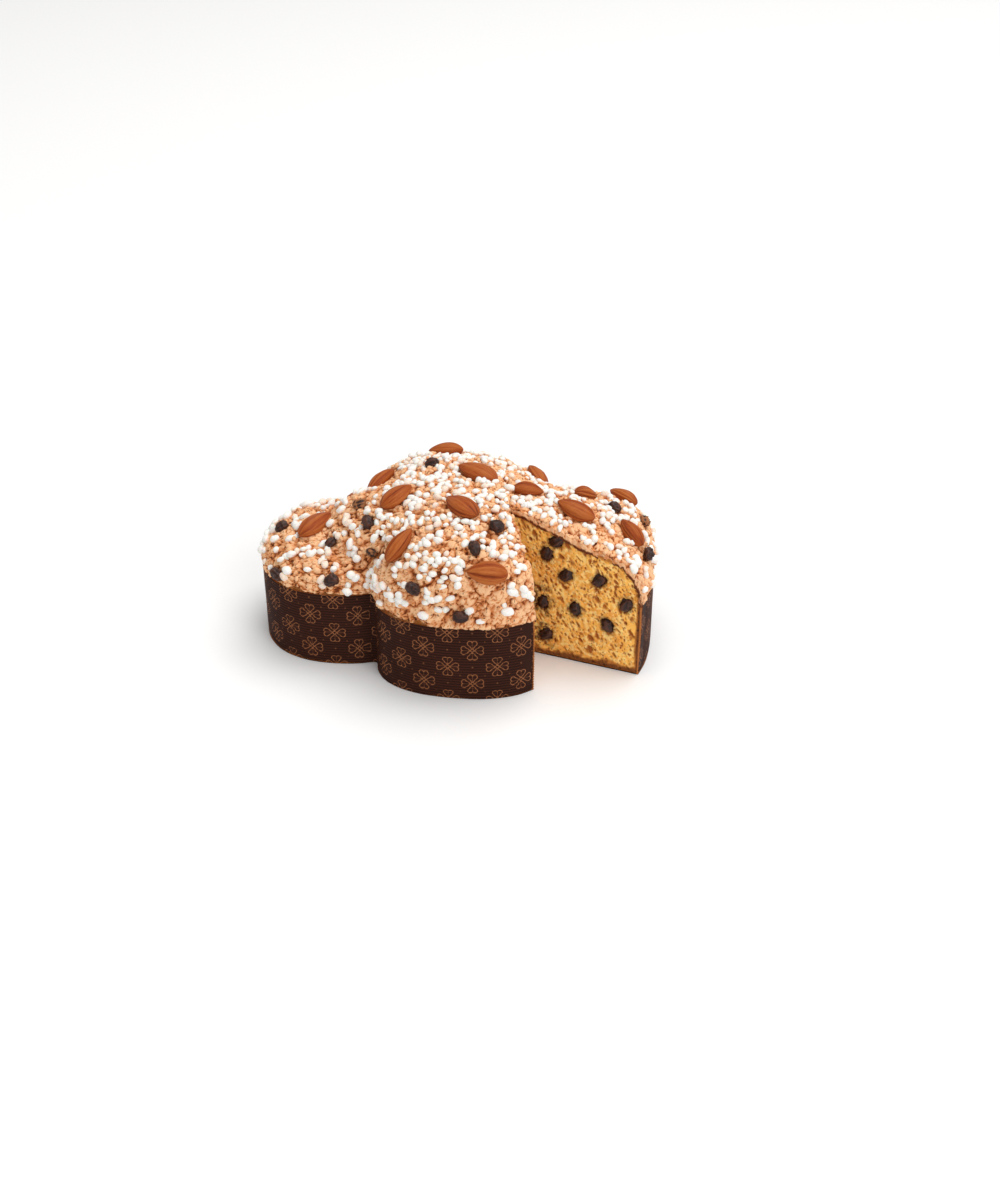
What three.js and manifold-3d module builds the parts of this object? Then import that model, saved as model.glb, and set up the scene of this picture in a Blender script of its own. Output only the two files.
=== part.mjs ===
// Colomba: a dove-shaped Easter cake in its paper case, with one slice cut out.
// Millimetres, +Z up. The long axis of the dove lies along X, its head towards -X and its
// tail towards +X. The origin is on the table, below the middle of the cake.
import * as THREE from 'three';
import { ImprovedNoise } from 'three/addons/math/ImprovedNoise.js';
import { mergeVertices } from 'three/addons/utils/BufferGeometryUtils.js';
import Module from 'manifold-3d';

// ---------------------------------------------------------------- driving dimensions

const LENGTH = 263;
const WIDTH = 162;
const PAPER_HEIGHT = 54;
const PAPER_WALL = 1.2;
const PAPER_FLOOR = 0.8;
const FIT_GAP = 0.3;

// The five lobes of the dove. Each is a superellipse in plan, and rise is the height of
// its dome above the rim of the paper.
const LOBES = [
  { name: 'head', x: -77.5, y: 0, halfLength: 54, halfWidth: 51.5, rise: 26 },
  { name: 'body', x: 9.3, y: 0, halfLength: 99, halfWidth: 51.5, rise: 58 },
  { name: 'front wing', x: 9.3, y: -47, halfLength: 56.5, halfWidth: 34, rise: 52.5 },
  { name: 'back wing', x: -3.5, y: 47, halfLength: 66, halfWidth: 34, rise: 52.5 },
  { name: 'tail', x: 92, y: 0, halfLength: 39.5, halfWidth: 70.5, rise: 38 },
];
const LOBE_POWER = 2.2;
const OUTLINE_BLEND = 14;
const DOME_POWER = 0.41;
const DOME_BLEND = 4;

// The missing slice: a wedge with its point near the middle and two straight cuts.
const CUT = { x: 36, y: -18, wingAngle: -64.5, tailAngle: -14.6, top: 160 };

const GLAZE = { thickness: 3.6, overhang: 0.8, crag: 1.7, cragSize: 9, cragFine: 0.8 };
const SUGAR = {
  clusters: 27, inCluster: 3, radius: 2.2, pitch: 4.1, sunk: 0.25, clear: 3.7, insideRim: 0.12, tries: 40,
};
const ALMOND = { widthRatio: 0.54, thickness: 9, lift: 0.9, girth: 1.16, pointPower: 0.72, buttPower: 0.5 };
const RAISIN = { length: 9.5, width: 7, thickness: 6.5, lift: 0.9, wrinkle: 0.14 };
const CUT_RAISIN = { length: 9.5, width: 7.5, thickness: 8, proud: 1.4 };

const OUTLINE_POINTS = 88;
const MIDDLE = { x: 0, y: 0 };

// Whole almonds: x and y of the middle, heading of the long axis from +X, and length.
const ALMONDS = [
  [-92, -8, 58, 31], [-54, 29, 45, 29], [-37, -12, 50, 26], [-28, -54, 38, 27],
  [-15, 58, 176, 24], [12, 18, 148, 30], [8, -30, 138, 30], [29, -71, 154, 25],
  [47, 52, 150, 23], [47, 1, 8, 20], [79, -9, 162, 26], [115, -7, 146, 24],
  [107, 46, 146, 23], [83, 17, 34, 18], [-72, 37, 84, 26], [-42, 70.8, 12, 25],
  [-6, 75, 172, 27], [21, 74, 14, 26], [61, 49, 100, 25], [43, 70.4, 165, 23],
];

// Raisins that lie in the glaze: x, y and heading.
const RAISINS = [
  [-117, -4, 20], [-79, -27, 70], [-75.6, -49, 40], [-54, -26, 100], [-112.6, -40, 60],
  [-20, 29, 30], [31, -42, 160], [20, -62, 110], [-17, -75, 80], [13, -80.7, 10],
  [103, 18, 150], [-48.7, -39, 120], [-62, -10, 15], [126, -13, 100], [-72, 51, 20],
  [-55, 68.5, 30], [-25, 73, 10], [65, 40, 60], [0, 80.7, 10], [122, 22, 110],
];

// Raisins that show in the two cut faces: distance along the cut from its point,
// height above the table, and how far the long axis leans.
const TAIL_CUT_RAISINS = [
  [33, 89, 20], [27, 79, 80], [40, 65, 60], [25, 41, 75], [47, 41, 100],
  [27, 16, 30], [10, 62, 140], [63, 66, 40], [70, 33, 120], [82, 52, 70],
];
const WING_CUT_RAISINS = [[14, 84, 40], [26, 52, 100], [36, 72, 70], [20, 24, 20], [40, 30, 130]];

const COLOURS = {
  paper: '#38201a', crumb: '#e8bc68', glaze: '#e6bb92', almond: '#96502c', raisin: '#33201b',
};

// ---------------------------------------------------------------- the shape of the dove

const radians = THREE.MathUtils.degToRad;

// How far inside a lobe a point lies: 1 at its middle, 0 on its outline.
function insideLobe(lobe, x, y) {
  const along = Math.abs((x - lobe.x) / lobe.halfLength) ** LOBE_POWER;
  const across = Math.abs((y - lobe.y) / lobe.halfWidth) ** LOBE_POWER;
  return 1 - along - across;
}

// The five lobes run together, and the outline of the dove is where this is 0. Far outside,
// each lobe's value is held to what the exponential can take.
function insideDove(x, y) {
  let sum = 0;
  for (const lobe of LOBES) {
    sum += Math.exp(OUTLINE_BLEND * THREE.MathUtils.clamp(insideLobe(lobe, x, y), -6, 2));
  }
  return Math.log(sum) / OUTLINE_BLEND;
}

// Height of the cake's domed top above the table. Where two lobes run together, each
// takes its share of the blend, so that the dome starts from the outline there too.
function domeHeight(x, y) {
  const blend = insideDove(x, y);
  let sum = 0;
  for (const lobe of LOBES) {
    const own = insideLobe(lobe, x, y);
    const share = blend * Math.exp(OUTLINE_BLEND * (own - blend));
    const inside = THREE.MathUtils.clamp(Math.max(own, share), 0, 1);
    sum += (lobe.rise * inside ** DOME_POWER) ** DOME_BLEND;
  }
  return PAPER_HEIGHT + sum ** (1 / DOME_BLEND);
}

// Distance from the middle to the outline in one direction: in from outside to the first
// point in the dove, then halved down.
function outlineRadius(angle) {
  const step = 2;
  let outer = LENGTH;
  while (insideDove((outer - step) * Math.cos(angle), (outer - step) * Math.sin(angle)) < 0) {
    outer -= step;
  }
  let inner = outer - step;
  for (let halving = 0; halving < 16; halving += 1) {
    const middle = (inner + outer) / 2;
    if (insideDove(middle * Math.cos(angle), middle * Math.sin(angle)) > 0) inner = middle;
    else outer = middle;
  }
  return inner;
}

// Points evenly spaced round the outline, each with the direction that leads straight out
// of the dove. They are taken from a closer walk round it.
const OUTLINE = (() => {
  const walk = Array.from({ length: 1441 }, (_, index) => {
    const angle = (2 * Math.PI * index) / 1440;
    const radius = outlineRadius(angle);
    return new THREE.Vector2(radius * Math.cos(angle), radius * Math.sin(angle));
  });
  const walked = [0];
  for (let index = 1; index < walk.length; index += 1) {
    walked.push(walked[index - 1] + walk[index].distanceTo(walk[index - 1]));
  }
  const pace = walked[walked.length - 1] / OUTLINE_POINTS;
  return Array.from({ length: OUTLINE_POINTS }, (_, index) => {
    const { x, y } = walk[walked.findIndex((distance) => distance >= index * pace)];
    const step = 0.5;
    const out = new THREE.Vector3(
      insideDove(x - step, y) - insideDove(x + step, y),
      insideDove(x, y - step) - insideDove(x, y + step), 0).normalize();
    return { x, y, out };
  });
})();

// Unit vector square to the dome at a point.
function domeNormal(x, y) {
  const step = 0.5;
  const slopeX = (domeHeight(x + step, y) - domeHeight(x - step, y)) / (2 * step);
  const slopeY = (domeHeight(x, y + step) - domeHeight(x, y - step)) / (2 * step);
  return new THREE.Vector3(-slopeX, -slopeY, 1).normalize();
}

// ---------------------------------------------------------------- solids and booleans

const wasm = await Module();
wasm.setup();

function toSolid(geometry) {
  const bare = geometry.clone();
  bare.deleteAttribute('normal');
  bare.deleteAttribute('uv');
  const merged = mergeVertices(bare, 1e-4);
  return new wasm.Manifold(new wasm.Mesh({
    numProp: 3,
    vertProperties: new Float32Array(merged.attributes.position.array),
    triVerts: new Uint32Array(merged.index.array),
  }));
}

// Booleans can leave loose scraps, so the largest body is the piece.
function largestBody(solid) {
  const bodies = solid.decompose();
  bodies.sort((a, b) => b.volume() - a.volume());
  return bodies[0];
}

function toMesh(name, solid, colour, roughness) {
  const { vertProperties, triVerts } = largestBody(solid).getMesh();
  const geometry = new THREE.BufferGeometry();
  geometry.setAttribute('position', new THREE.BufferAttribute(new Float32Array(vertProperties), 3));
  geometry.setIndex(new THREE.BufferAttribute(new Uint32Array(triVerts), 1));
  geometry.computeVertexNormals();
  const material = new THREE.MeshStandardMaterial({ color: colour, roughness, metalness: 0 });
  const mesh = new THREE.Mesh(geometry, material);
  mesh.name = name;
  return mesh;
}

// A closed solid from rings of points. The rings run from the underside out, up and in
// again, each with as many points as the one before or half as many, and a fan closes
// each end.
function ringSolid(rings, bottomHeight, topHeight) {
  const positions = [];
  const starts = rings.map((ring) => {
    const start = positions.length / 3;
    positions.push(...ring.flatMap((point) => point.toArray()));
    return start;
  });
  const bottom = positions.length / 3;
  const top = bottom + 1;
  positions.push(MIDDLE.x, MIDDLE.y, bottomHeight, MIDDLE.x, MIDDLE.y, topHeight);
  const triangles = [];
  const first = rings[0].length;
  for (let index = 0; index < first; index += 1) {
    triangles.push(bottom, starts[0] + ((index + 1) % first), starts[0] + index);
  }
  for (let ring = 0; ring < rings.length - 1; ring += 1) {
    const share = rings[ring].length / rings[ring + 1].length;
    const lowPoint = (index) => starts[ring] + (index % rings[ring].length);
    const highPoint = (index) => starts[ring + 1] + (index % rings[ring + 1].length);
    for (let index = 0; index < rings[ring + 1].length; index += 1) {
      const low = index * share;
      if (share === 2) triangles.push(lowPoint(low), lowPoint(low + 1), highPoint(index));
      triangles.push(lowPoint(low + share - 1), lowPoint(low + share), highPoint(index + 1));
      triangles.push(lowPoint(low + share - 1), highPoint(index + 1), highPoint(index));
    }
  }
  const last = rings.length - 1;
  for (let index = 0; index < rings[last].length; index += 1) {
    triangles.push(top, starts[last] + index, starts[last] + ((index + 1) % rings[last].length));
  }
  const geometry = new THREE.BufferGeometry();
  geometry.setAttribute('position', new THREE.Float32BufferAttribute(positions, 3));
  geometry.setIndex(triangles);
  return toSolid(geometry);
}

// A level ring that follows the outline, set in by a distance.
function outlineRing(inset, height) {
  return OUTLINE.map(({ x, y, out }) => new THREE.Vector3(x, y, height).addScaledVector(out, -inset));
}

const cutWedge = (() => {
  const shape = new THREE.Shape();
  const corner = (angle) => [
    CUT.x + LENGTH * Math.cos(radians(angle)), CUT.y + LENGTH * Math.sin(radians(angle))];
  shape.moveTo(CUT.x, CUT.y);
  shape.lineTo(...corner(CUT.wingAngle));
  shape.lineTo(...corner(CUT.tailAngle));
  shape.closePath();
  const prism = new THREE.ExtrudeGeometry(shape, { depth: CUT.top + 20, bevelEnabled: false });
  prism.translate(0, 0, -20);
  return toSolid(prism);
})();

// ---------------------------------------------------------------- paper case

function paperCase() {
  const outside = ringSolid([outlineRing(0, 0), outlineRing(0, PAPER_HEIGHT)], 0, PAPER_HEIGHT);
  const over = PAPER_HEIGHT + 5;
  const inside = ringSolid(
    [outlineRing(PAPER_WALL, PAPER_FLOOR), outlineRing(PAPER_WALL, over)], PAPER_FLOOR, over);
  return outside.subtract(inside).subtract(cutWedge);
}

// ---------------------------------------------------------------- crumb

// The dome's rings, from the rim to the top: how far each is set in from the outline, the
// scale at which it is then drawn towards the middle, and how many outline points it skips
// from one of its own to the next. The crumb and the glaze share them.
const RIM_RINGS = [[0, 1, 1], [0.8, 1, 1], [2.4, 1, 1]];
const DOME_RINGS = [
  [5.5, 1, 1], [10, 1, 1], [10, 0.88, 2], [10, 0.74, 2], [10, 0.58, 2],
  [10, 0.42, 4], [10, 0.26, 4], [10, 0.12, 8],
];
const STEEPEST = 0.2;

function ringPoints([inset, scale, skip]) {
  return OUTLINE.filter((_, index) => index % skip === 0)
    .map(({ x, y, out }) => [scale * (x - inset * out.x), scale * (y - inset * out.y)]);
}

// Height change that moves the dome's surface by a distance square to itself.
function upright(distance, x, y) {
  return distance / Math.max(domeNormal(x, y).z, STEEPEST);
}

// The dome under the glaze. Grown brings it nearer to the skin, for the glaze's inside.
function crumbDome(below, floorInset, floor, grown) {
  const depth = GLAZE.thickness - grown;
  const heightAt = (x, y) => Math.max(domeHeight(x, y) - upright(depth, x, y), PAPER_HEIGHT) + grown;
  const rings = [outlineRing(floorInset, floor), outlineRing(floorInset, below)];
  rings.push(outlineRing(depth, PAPER_HEIGHT + grown));
  for (const ring of DOME_RINGS) {
    rings.push(ringPoints(ring).map(([x, y]) => new THREE.Vector3(x, y, heightAt(x, y))));
  }
  return ringSolid(rings, floor, heightAt(MIDDLE.x, MIDDLE.y));
}

function crumbBody() {
  return crumbDome(PAPER_HEIGHT, PAPER_WALL + FIT_GAP, PAPER_FLOOR + FIT_GAP, 0).subtract(cutWedge);
}

// ---------------------------------------------------------------- glaze

const noise = new ImprovedNoise();

// Height of the glaze's crags at a point, in and out of the dome.
function crag(point) {
  const coarse = GLAZE.cragSize;
  const fine = GLAZE.cragSize / 2.3;
  return GLAZE.crag * noise.noise(point.x / coarse, point.y / coarse, point.z / coarse)
    + GLAZE.cragFine * noise.noise(point.x / fine, point.y / fine, 7 + point.z / fine);
}

// A point of the glaze's outer skin, raised by lift.
function glazePoint(x, y, lift) {
  const point = new THREE.Vector3(x, y, domeHeight(x, y));
  point.addScaledVector(domeNormal(x, y), GLAZE.overhang + crag(point));
  point.z += upright(lift, x, y);
  return point;
}

// The solid under the glaze's outer skin, raised by lift. It starts just over the paper.
function glazeDome(lift) {
  const under = PAPER_HEIGHT + FIT_GAP;
  const rings = [...RIM_RINGS, ...DOME_RINGS].map((ring) => (
    ringPoints(ring).map(([x, y]) => glazePoint(x, y, lift))));
  rings[0] = outlineRing(-GLAZE.overhang - lift, under);
  return ringSolid(rings, under, glazePoint(MIDDLE.x, MIDDLE.y, lift).z);
}

// The glaze with what is fused to it, hollowed out for the crumb.
function glazeSkin(grains) {
  const below = PAPER_HEIGHT - 10;
  const inset = GLAZE.thickness - FIT_GAP;
  let skin = glazeDome(0);
  for (const grain of grains) skin = skin.add(grain);
  return skin.subtract(crumbDome(PAPER_HEIGHT, inset, below, FIT_GAP)).subtract(cutWedge);
}

// ---------------------------------------------------------------- toppings

// A frame on the dome at x and y, turned so that its X axis points along heading.
function domeFrame(x, y, heading, lift) {
  const up = domeNormal(x, y);
  const along = new THREE.Vector3(Math.cos(radians(heading)), Math.sin(radians(heading)), 0);
  along.addScaledVector(up, -along.dot(up)).normalize();
  const across = new THREE.Vector3().crossVectors(up, along);
  const place = new THREE.Vector3(x, y, domeHeight(x, y)).addScaledVector(up, lift);
  return new THREE.Matrix4().makeBasis(along, across, up).setPosition(place);
}

// An almond: an ellipsoid drawn out to a point at one end and rounded at the other.
function almondGeometry(length) {
  const geometry = new THREE.SphereGeometry(1, 9, 7);
  geometry.rotateZ(-Math.PI / 2);
  const position = geometry.attributes.position;
  for (let index = 0; index < position.count; index += 1) {
    const u = position.getX(index);
    const ring = Math.sqrt(Math.max(1 - u * u, 0));
    const girth = ALMOND.girth * Math.max(1 - u, 0) ** ALMOND.pointPower
      * Math.max(1 + u, 0) ** ALMOND.buttPower;
    const swell = ring > 1e-6 ? Math.min(girth, 1) / ring : 0;
    position.setXYZ(index, u * length / 2,
      position.getY(index) * swell * length * ALMOND.widthRatio / 2,
      position.getZ(index) * swell * ALMOND.thickness / 2);
  }
  return geometry;
}

// A raisin: a pebble with lengthwise folds, which the seed moves round it.
function raisinGeometry(size, seed) {
  const geometry = new THREE.SphereGeometry(1, 7, 5);
  geometry.rotateZ(-Math.PI / 2);
  const position = geometry.attributes.position;
  for (let index = 0; index < position.count; index += 1) {
    const [x, y, z] = [position.getX(index), position.getY(index), position.getZ(index)];
    const fold = 1 + RAISIN.wrinkle * Math.sin(3 * Math.atan2(z, y) + seed) * (1 - x * x);
    position.setXYZ(index, x * size.length / 2, y * fold * size.width / 2, z * fold * size.thickness / 2);
  }
  return geometry;
}

// ---------------------------------------------------------------- pearl sugar

// A repeatable draw from 0 to 1.
function randomDraw(seed) {
  let state = seed;
  return () => {
    state = (state + 0x6d2b79f5) >>> 0;
    let mixed = Math.imul(state ^ (state >>> 15), 1 | state);
    mixed = (mixed + Math.imul(mixed ^ (mixed >>> 7), 61 | mixed)) ^ mixed;
    return ((mixed ^ (mixed >>> 14)) >>> 0) / 4294967296;
  };
}

// Whether a grain at x and y stays clear of the toppings, the cuts and the rim.
function clearForSugar(x, y) {
  const clearOf = (list, halfLength, halfWidth) => list.every(([px, py, heading, length]) => {
    const turn = radians(heading);
    const along = (x - px) * Math.cos(turn) + (y - py) * Math.sin(turn);
    const across = (y - py) * Math.cos(turn) - (x - px) * Math.sin(turn);
    const reach = (length ? length / 2 : halfLength) + SUGAR.clear;
    return (along / reach) ** 2 + (across / (halfWidth + SUGAR.clear)) ** 2 > 1;
  });
  const beyondCut = (angle, side) => {
    const turn = radians(angle);
    return side * ((y - CUT.y) * Math.cos(turn) - (x - CUT.x) * Math.sin(turn)) > SUGAR.clear;
  };
  return insideDove(x, y) > SUGAR.insideRim
    && (beyondCut(CUT.tailAngle, 1) || beyondCut(CUT.wingAngle, -1))
    && clearOf(ALMONDS, 0, 8) && clearOf(RAISINS, RAISIN.length / 2, RAISIN.width / 2);
}

// Sugar grains in clusters spread evenly over the dome. Each cluster takes the one of many
// drawn places that lies furthest from the clusters before it.
function sugarGrains() {
  const draw = randomDraw(7);
  const centres = [];
  const grains = [];
  while (centres.length < SUGAR.clusters) {
    let best = null;
    for (let attempt = 0; attempt < SUGAR.tries; attempt += 1) {
      const x = (draw() - 0.5) * LENGTH;
      const y = (draw() - 0.5) * WIDTH;
      if (!clearForSugar(x, y)) continue;
      const place = new THREE.Vector3(x, y, domeHeight(x, y));
      const room = Math.min(200, ...centres.map((centre) => centre.distanceTo(place)));
      if (!best || room > best.room) best = { place, room };
    }
    if (!best) continue;
    centres.push(best.place);
    for (let member = 0; member < SUGAR.inCluster; member += 1) {
      const turn = 2 * Math.PI * (member / SUGAR.inCluster + 0.15 * draw());
      const away = SUGAR.pitch * (0.5 + 0.15 * draw());
      const x = best.place.x + away * Math.cos(turn);
      const y = best.place.y + away * Math.sin(turn);
      const size = SUGAR.radius * (0.85 + 0.3 * draw());
      if (clearForSugar(x, y)) grains.push({ x, y, size, heading: 360 * draw() });
    }
  }
  return grains;
}

function sugarSolid({ x, y, size, heading }) {
  const geometry = new THREE.SphereGeometry(size, 5, 3);
  geometry.rotateX(Math.PI / 2);
  geometry.scale(1.15, 0.95, 0.9);
  geometry.applyMatrix4(domeFrame(x, y, heading, GLAZE.overhang + size * SUGAR.sunk));
  return toSolid(geometry);
}

// ---------------------------------------------------------------- the whole cake

const group = new THREE.Group();
const label = (kind, index) => `${kind}_${String(index + 1).padStart(2, '0')}`;

group.add(toMesh('paper_case', paperCase(), COLOURS.paper, 0.8));

// Raisins sit half sunk in the cut faces, each in a pocket of the crumb.
let crumb = crumbBody();
const cutFaces = [
  { angle: CUT.tailAngle, side: -1, raisins: TAIL_CUT_RAISINS },
  { angle: CUT.wingAngle, side: 1, raisins: WING_CUT_RAISINS },
];
let cutCount = 0;
for (const { angle, side, raisins } of cutFaces) {
  const turn = radians(angle);
  const along = new THREE.Vector3(Math.cos(turn), Math.sin(turn), 0);
  const out = new THREE.Vector3(-Math.sin(turn), Math.cos(turn), 0).multiplyScalar(side);
  for (const [distance, height, lean] of raisins) {
    const place = new THREE.Vector3(CUT.x, CUT.y, height).addScaledVector(along, distance);
    place.addScaledVector(out, CUT_RAISIN.proud - CUT_RAISIN.thickness / 2);
    const up = new THREE.Vector3().crossVectors(out, along);
    const matrix = new THREE.Matrix4().makeBasis(along, up, out)
      .multiply(new THREE.Matrix4().makeRotationZ(radians(lean))).setPosition(place);
    if (matrix.determinant() < 0) matrix.multiply(new THREE.Matrix4().makeScale(1, -1, 1));
    const raisin = toSolid(raisinGeometry(CUT_RAISIN, distance).applyMatrix4(matrix));
    const roomy = Object.fromEntries(['length', 'width', 'thickness']
      .map((key) => [key, CUT_RAISIN[key] + 3 * FIT_GAP]));
    crumb = crumb.subtract(toSolid(raisinGeometry(roomy, distance).applyMatrix4(matrix)));
    group.add(toMesh(label('cut_raisin', cutCount), raisin, COLOURS.raisin, 0.6));
    cutCount += 1;
  }
}
group.add(toMesh('crumb', crumb, COLOURS.crumb, 0.9));

const glaze = glazeSkin(sugarGrains().map(sugarSolid));
group.add(toMesh('glaze', glaze, COLOURS.glaze, 0.85));

// What lies in the glaze is bedded on it: its underside follows the glaze.
const bed = glazeDome(FIT_GAP);
ALMONDS.forEach(([x, y, heading, length], index) => {
  const frame = domeFrame(x, y, heading, GLAZE.overhang + ALMOND.lift);
  const almond = toSolid(almondGeometry(length).applyMatrix4(frame)).subtract(bed);
  group.add(toMesh(label('almond', index), almond, COLOURS.almond, 0.6));
});
RAISINS.forEach(([x, y, heading], index) => {
  const frame = domeFrame(x, y, heading, GLAZE.overhang + RAISIN.lift);
  const raisin = toSolid(raisinGeometry(RAISIN, index).applyMatrix4(frame)).subtract(bed);
  group.add(toMesh(label('raisin', index), raisin, COLOURS.raisin, 0.6));
});

export default group;
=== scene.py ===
"""A colomba: a dove-shaped Easter cake in a printed paper case, with one slice cut out.

Shapes are worked out in millimetres and put into the meshes in metres. +X leads from the
dove's head to its tail and +Z up. Every surface of the cake is a fan round the point of the
cut, from the tail cut round to the wing cut.
"""

import math

import bpy
import numpy as np
from bpy.props import FloatProperty, FloatVectorProperty, IntProperty, PointerProperty
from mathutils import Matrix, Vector


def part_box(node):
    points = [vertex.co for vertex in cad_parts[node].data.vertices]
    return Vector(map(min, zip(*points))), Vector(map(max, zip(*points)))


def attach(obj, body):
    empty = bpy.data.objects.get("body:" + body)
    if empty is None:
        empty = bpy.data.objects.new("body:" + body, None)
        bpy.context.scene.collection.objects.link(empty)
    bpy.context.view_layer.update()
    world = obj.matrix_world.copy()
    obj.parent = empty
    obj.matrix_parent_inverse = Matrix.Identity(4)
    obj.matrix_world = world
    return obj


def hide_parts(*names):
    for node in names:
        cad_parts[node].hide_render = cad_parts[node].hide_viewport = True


bl_info = {
    "name": "Colomba",
    "version": (1, 0, 0),
    "blender": (4, 5, 0),
    "location": "3D View > Sidebar > Colomba",
    "description": "Builds a glazed colomba cake in its paper case",
    "category": "Object",
}

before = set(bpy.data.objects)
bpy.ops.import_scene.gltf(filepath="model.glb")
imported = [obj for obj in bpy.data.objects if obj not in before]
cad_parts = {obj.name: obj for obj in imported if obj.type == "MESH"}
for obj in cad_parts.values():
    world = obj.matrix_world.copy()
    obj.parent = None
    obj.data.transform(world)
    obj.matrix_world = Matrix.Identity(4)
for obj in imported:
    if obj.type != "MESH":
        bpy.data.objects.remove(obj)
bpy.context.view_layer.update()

MM = 0.001
PAPER_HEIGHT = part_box("paper_case")[1].z / MM
NODES = sorted(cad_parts)

# The five lobes of the dove: middle x and y, half length, half width, and rise of the dome.
LOBES = np.array([
    (-77.5, 0, 54, 51.5, 26),
    (9.3, 0, 99, 51.5, 58),
    (9.3, -47, 56.5, 34, 52.5),
    (-3.5, 47, 66, 34, 52.5),
    (92, 0, 39.5, 70.5, 38),
])
LOBE_POWER = 2.2
OUTLINE_BLEND = 14
DOME_POWER = 0.41
DOME_BLEND = 4

CUT_POINT = np.array([36.0, -18.0])
TAIL_CUT = math.radians(-14.6)
WING_CUT = math.radians(-64.5)

# Searches along a spoke from the cut's point, and points that the outline is walked in.
NEAREST, FARTHEST, HALVINGS = 5.0, 260.0, 40
WALK_POINTS = 6001

GLAZE_THICKNESS = 3.6
GLAZE_OVERHANG = 0.8  # how far the glaze's mean skin lies over the dome
GLAZE_LIP = 0.35  # how far over the paper's rim the glaze ends
DEEPEST = 3.0  # the deepest crack, and how far under the dome the crumb stays
TOPPING_LIFT = 0.9
RIM_RINGS = 41


# ------------------------------------------------------------------ the shape of the dove

def inside_lobes(x, y):
    """How far inside each lobe: 1 less the powers of the shares of its half length and width."""
    across = np.asarray(x, float)[..., None] - LOBES[:, 0]
    up = np.asarray(y, float)[..., None] - LOBES[:, 1]
    return 1 - np.abs(across / LOBES[:, 2]) ** LOBE_POWER - np.abs(up / LOBES[:, 3]) ** LOBE_POWER


def inside_dove(x, y):
    """The lobes run together: the logarithm of the sum of their powers of e, 0 on the outline.

    Each share is clipped first, so that no power runs over.
    """
    own = np.clip(inside_lobes(x, y), -6, 2)
    return np.log(np.exp(OUTLINE_BLEND * own).sum(-1)) / OUTLINE_BLEND


def dome(x, y):
    """Height of the domed top: each lobe's rise by a power of how far inside it a point lies."""
    own = inside_lobes(x, y)
    blend = inside_dove(x, y)[..., None]
    share = blend * np.exp(np.minimum(OUTLINE_BLEND * (own - blend), 0))
    inside = np.clip(np.maximum(own, share), 0, 1)
    heights = (LOBES[:, 4] * inside ** DOME_POWER) ** DOME_BLEND
    return PAPER_HEIGHT + heights.sum(-1) ** (1 / DOME_BLEND)


def unit(vectors):
    """Vectors drawn to a length of 1."""
    return vectors / np.maximum(np.linalg.norm(vectors, axis=-1, keepdims=True), 1e-9)


def dome_normal(x, y, step=0.5):
    """Unit vectors square to the dome, from its height a step to each side."""
    slope_x = (dome(x + step, y) - dome(x - step, y)) / (2 * step)
    slope_y = (dome(x, y + step) - dome(x, y - step)) / (2 * step)
    return unit(np.stack([-slope_x, -slope_y, np.ones_like(slope_x)], -1))


def dome_axes(x, y, heading):
    """Three unit axes at places on the dome: along a heading, across it, and square to it."""
    up = dome_normal(x, y)
    along = np.stack([np.cos(heading), np.sin(heading), np.zeros_like(heading)], -1)
    along = unit(along - (along * up).sum(-1, keepdims=True) * up)
    return np.stack([along, np.cross(up, along), up], -2)


def outward(x, y, step=0.5):
    """Level unit vectors that lead straight out of the dove."""
    out_x = inside_dove(x - step, y) - inside_dove(x + step, y)
    out_y = inside_dove(x, y - step) - inside_dove(x, y + step)
    return unit(np.stack([out_x, out_y, np.zeros_like(out_x)], -1))


def spokes(turn):
    """Level unit vectors, as x and y, in directions given as angles."""
    return np.stack([np.cos(turn), np.sin(turn)], -1)


def fan_radius(turn):
    """Distance from the cut's point to the outline in each direction, halved down."""
    low = np.full(turn.shape, NEAREST)
    high = np.full(turn.shape, FARTHEST)
    for _ in range(HALVINGS):
        middle = (low + high) / 2
        place = CUT_POINT + middle[:, None] * spokes(turn)
        within = inside_dove(place[:, 0], place[:, 1]) > 0
        low = np.where(within, middle, low)
        high = np.where(within, high, middle)
    return low


def outline_fan(columns):
    """Directions to points spaced evenly along the outline, their distances, and the way walked."""
    turn = np.linspace(TAIL_CUT, WING_CUT + 2 * np.pi, WALK_POINTS)
    radius = fan_radius(turn)
    place = radius[:, None] * spokes(turn)
    steps = np.linalg.norm(np.diff(place, axis=0), axis=1)
    walked = np.concatenate([[0], np.cumsum(steps)])
    even = np.linspace(0, walked[-1], columns)
    turn = np.interp(even, walked, turn)
    return turn, fan_radius(turn), even


def rim_inset(ring):
    """How far inside the outline a ring near the rim lies: a power of its number, so they crowd."""
    return 15 * (ring / 50) ** 2.44


# ------------------------------------------------------------------ uneven surfaces

def scramble(places, seed):
    """A repeatable number from 0 to 1 for each whole-number place: multiplied, shifted, mixed."""
    mask = 0xFFFFFFFF
    whole = places.astype(np.int64)
    mixed = whole[..., 0] * 374761393 + whole[..., 1] * 668265263 + whole[..., 2] * 1442695041
    mixed = (mixed + seed * 1274126177) & mask
    mixed = ((mixed ^ (mixed >> 13)) * 1103515245) & mask
    mixed = ((mixed ^ (mixed >> 15)) * 1274126177) & mask
    return ((mixed ^ (mixed >> 16)) & mask) / mask


def cloud(points, size, seed):
    """Smooth noise from -1 to 1: numbers at the corners of cubes, eased from one to the next."""
    scaled = points / size
    corner = np.floor(scaled)
    part = scaled - corner
    ease = part * part * (3 - 2 * part)
    total = np.zeros(points.shape[:-1])
    for step in np.ndindex(2, 2, 2):
        weight = np.prod(np.where(np.array(step) == 1, ease, 1 - ease), axis=-1)
        total += weight * scramble(corner + step, seed)
    return 2 * total - 1


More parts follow.
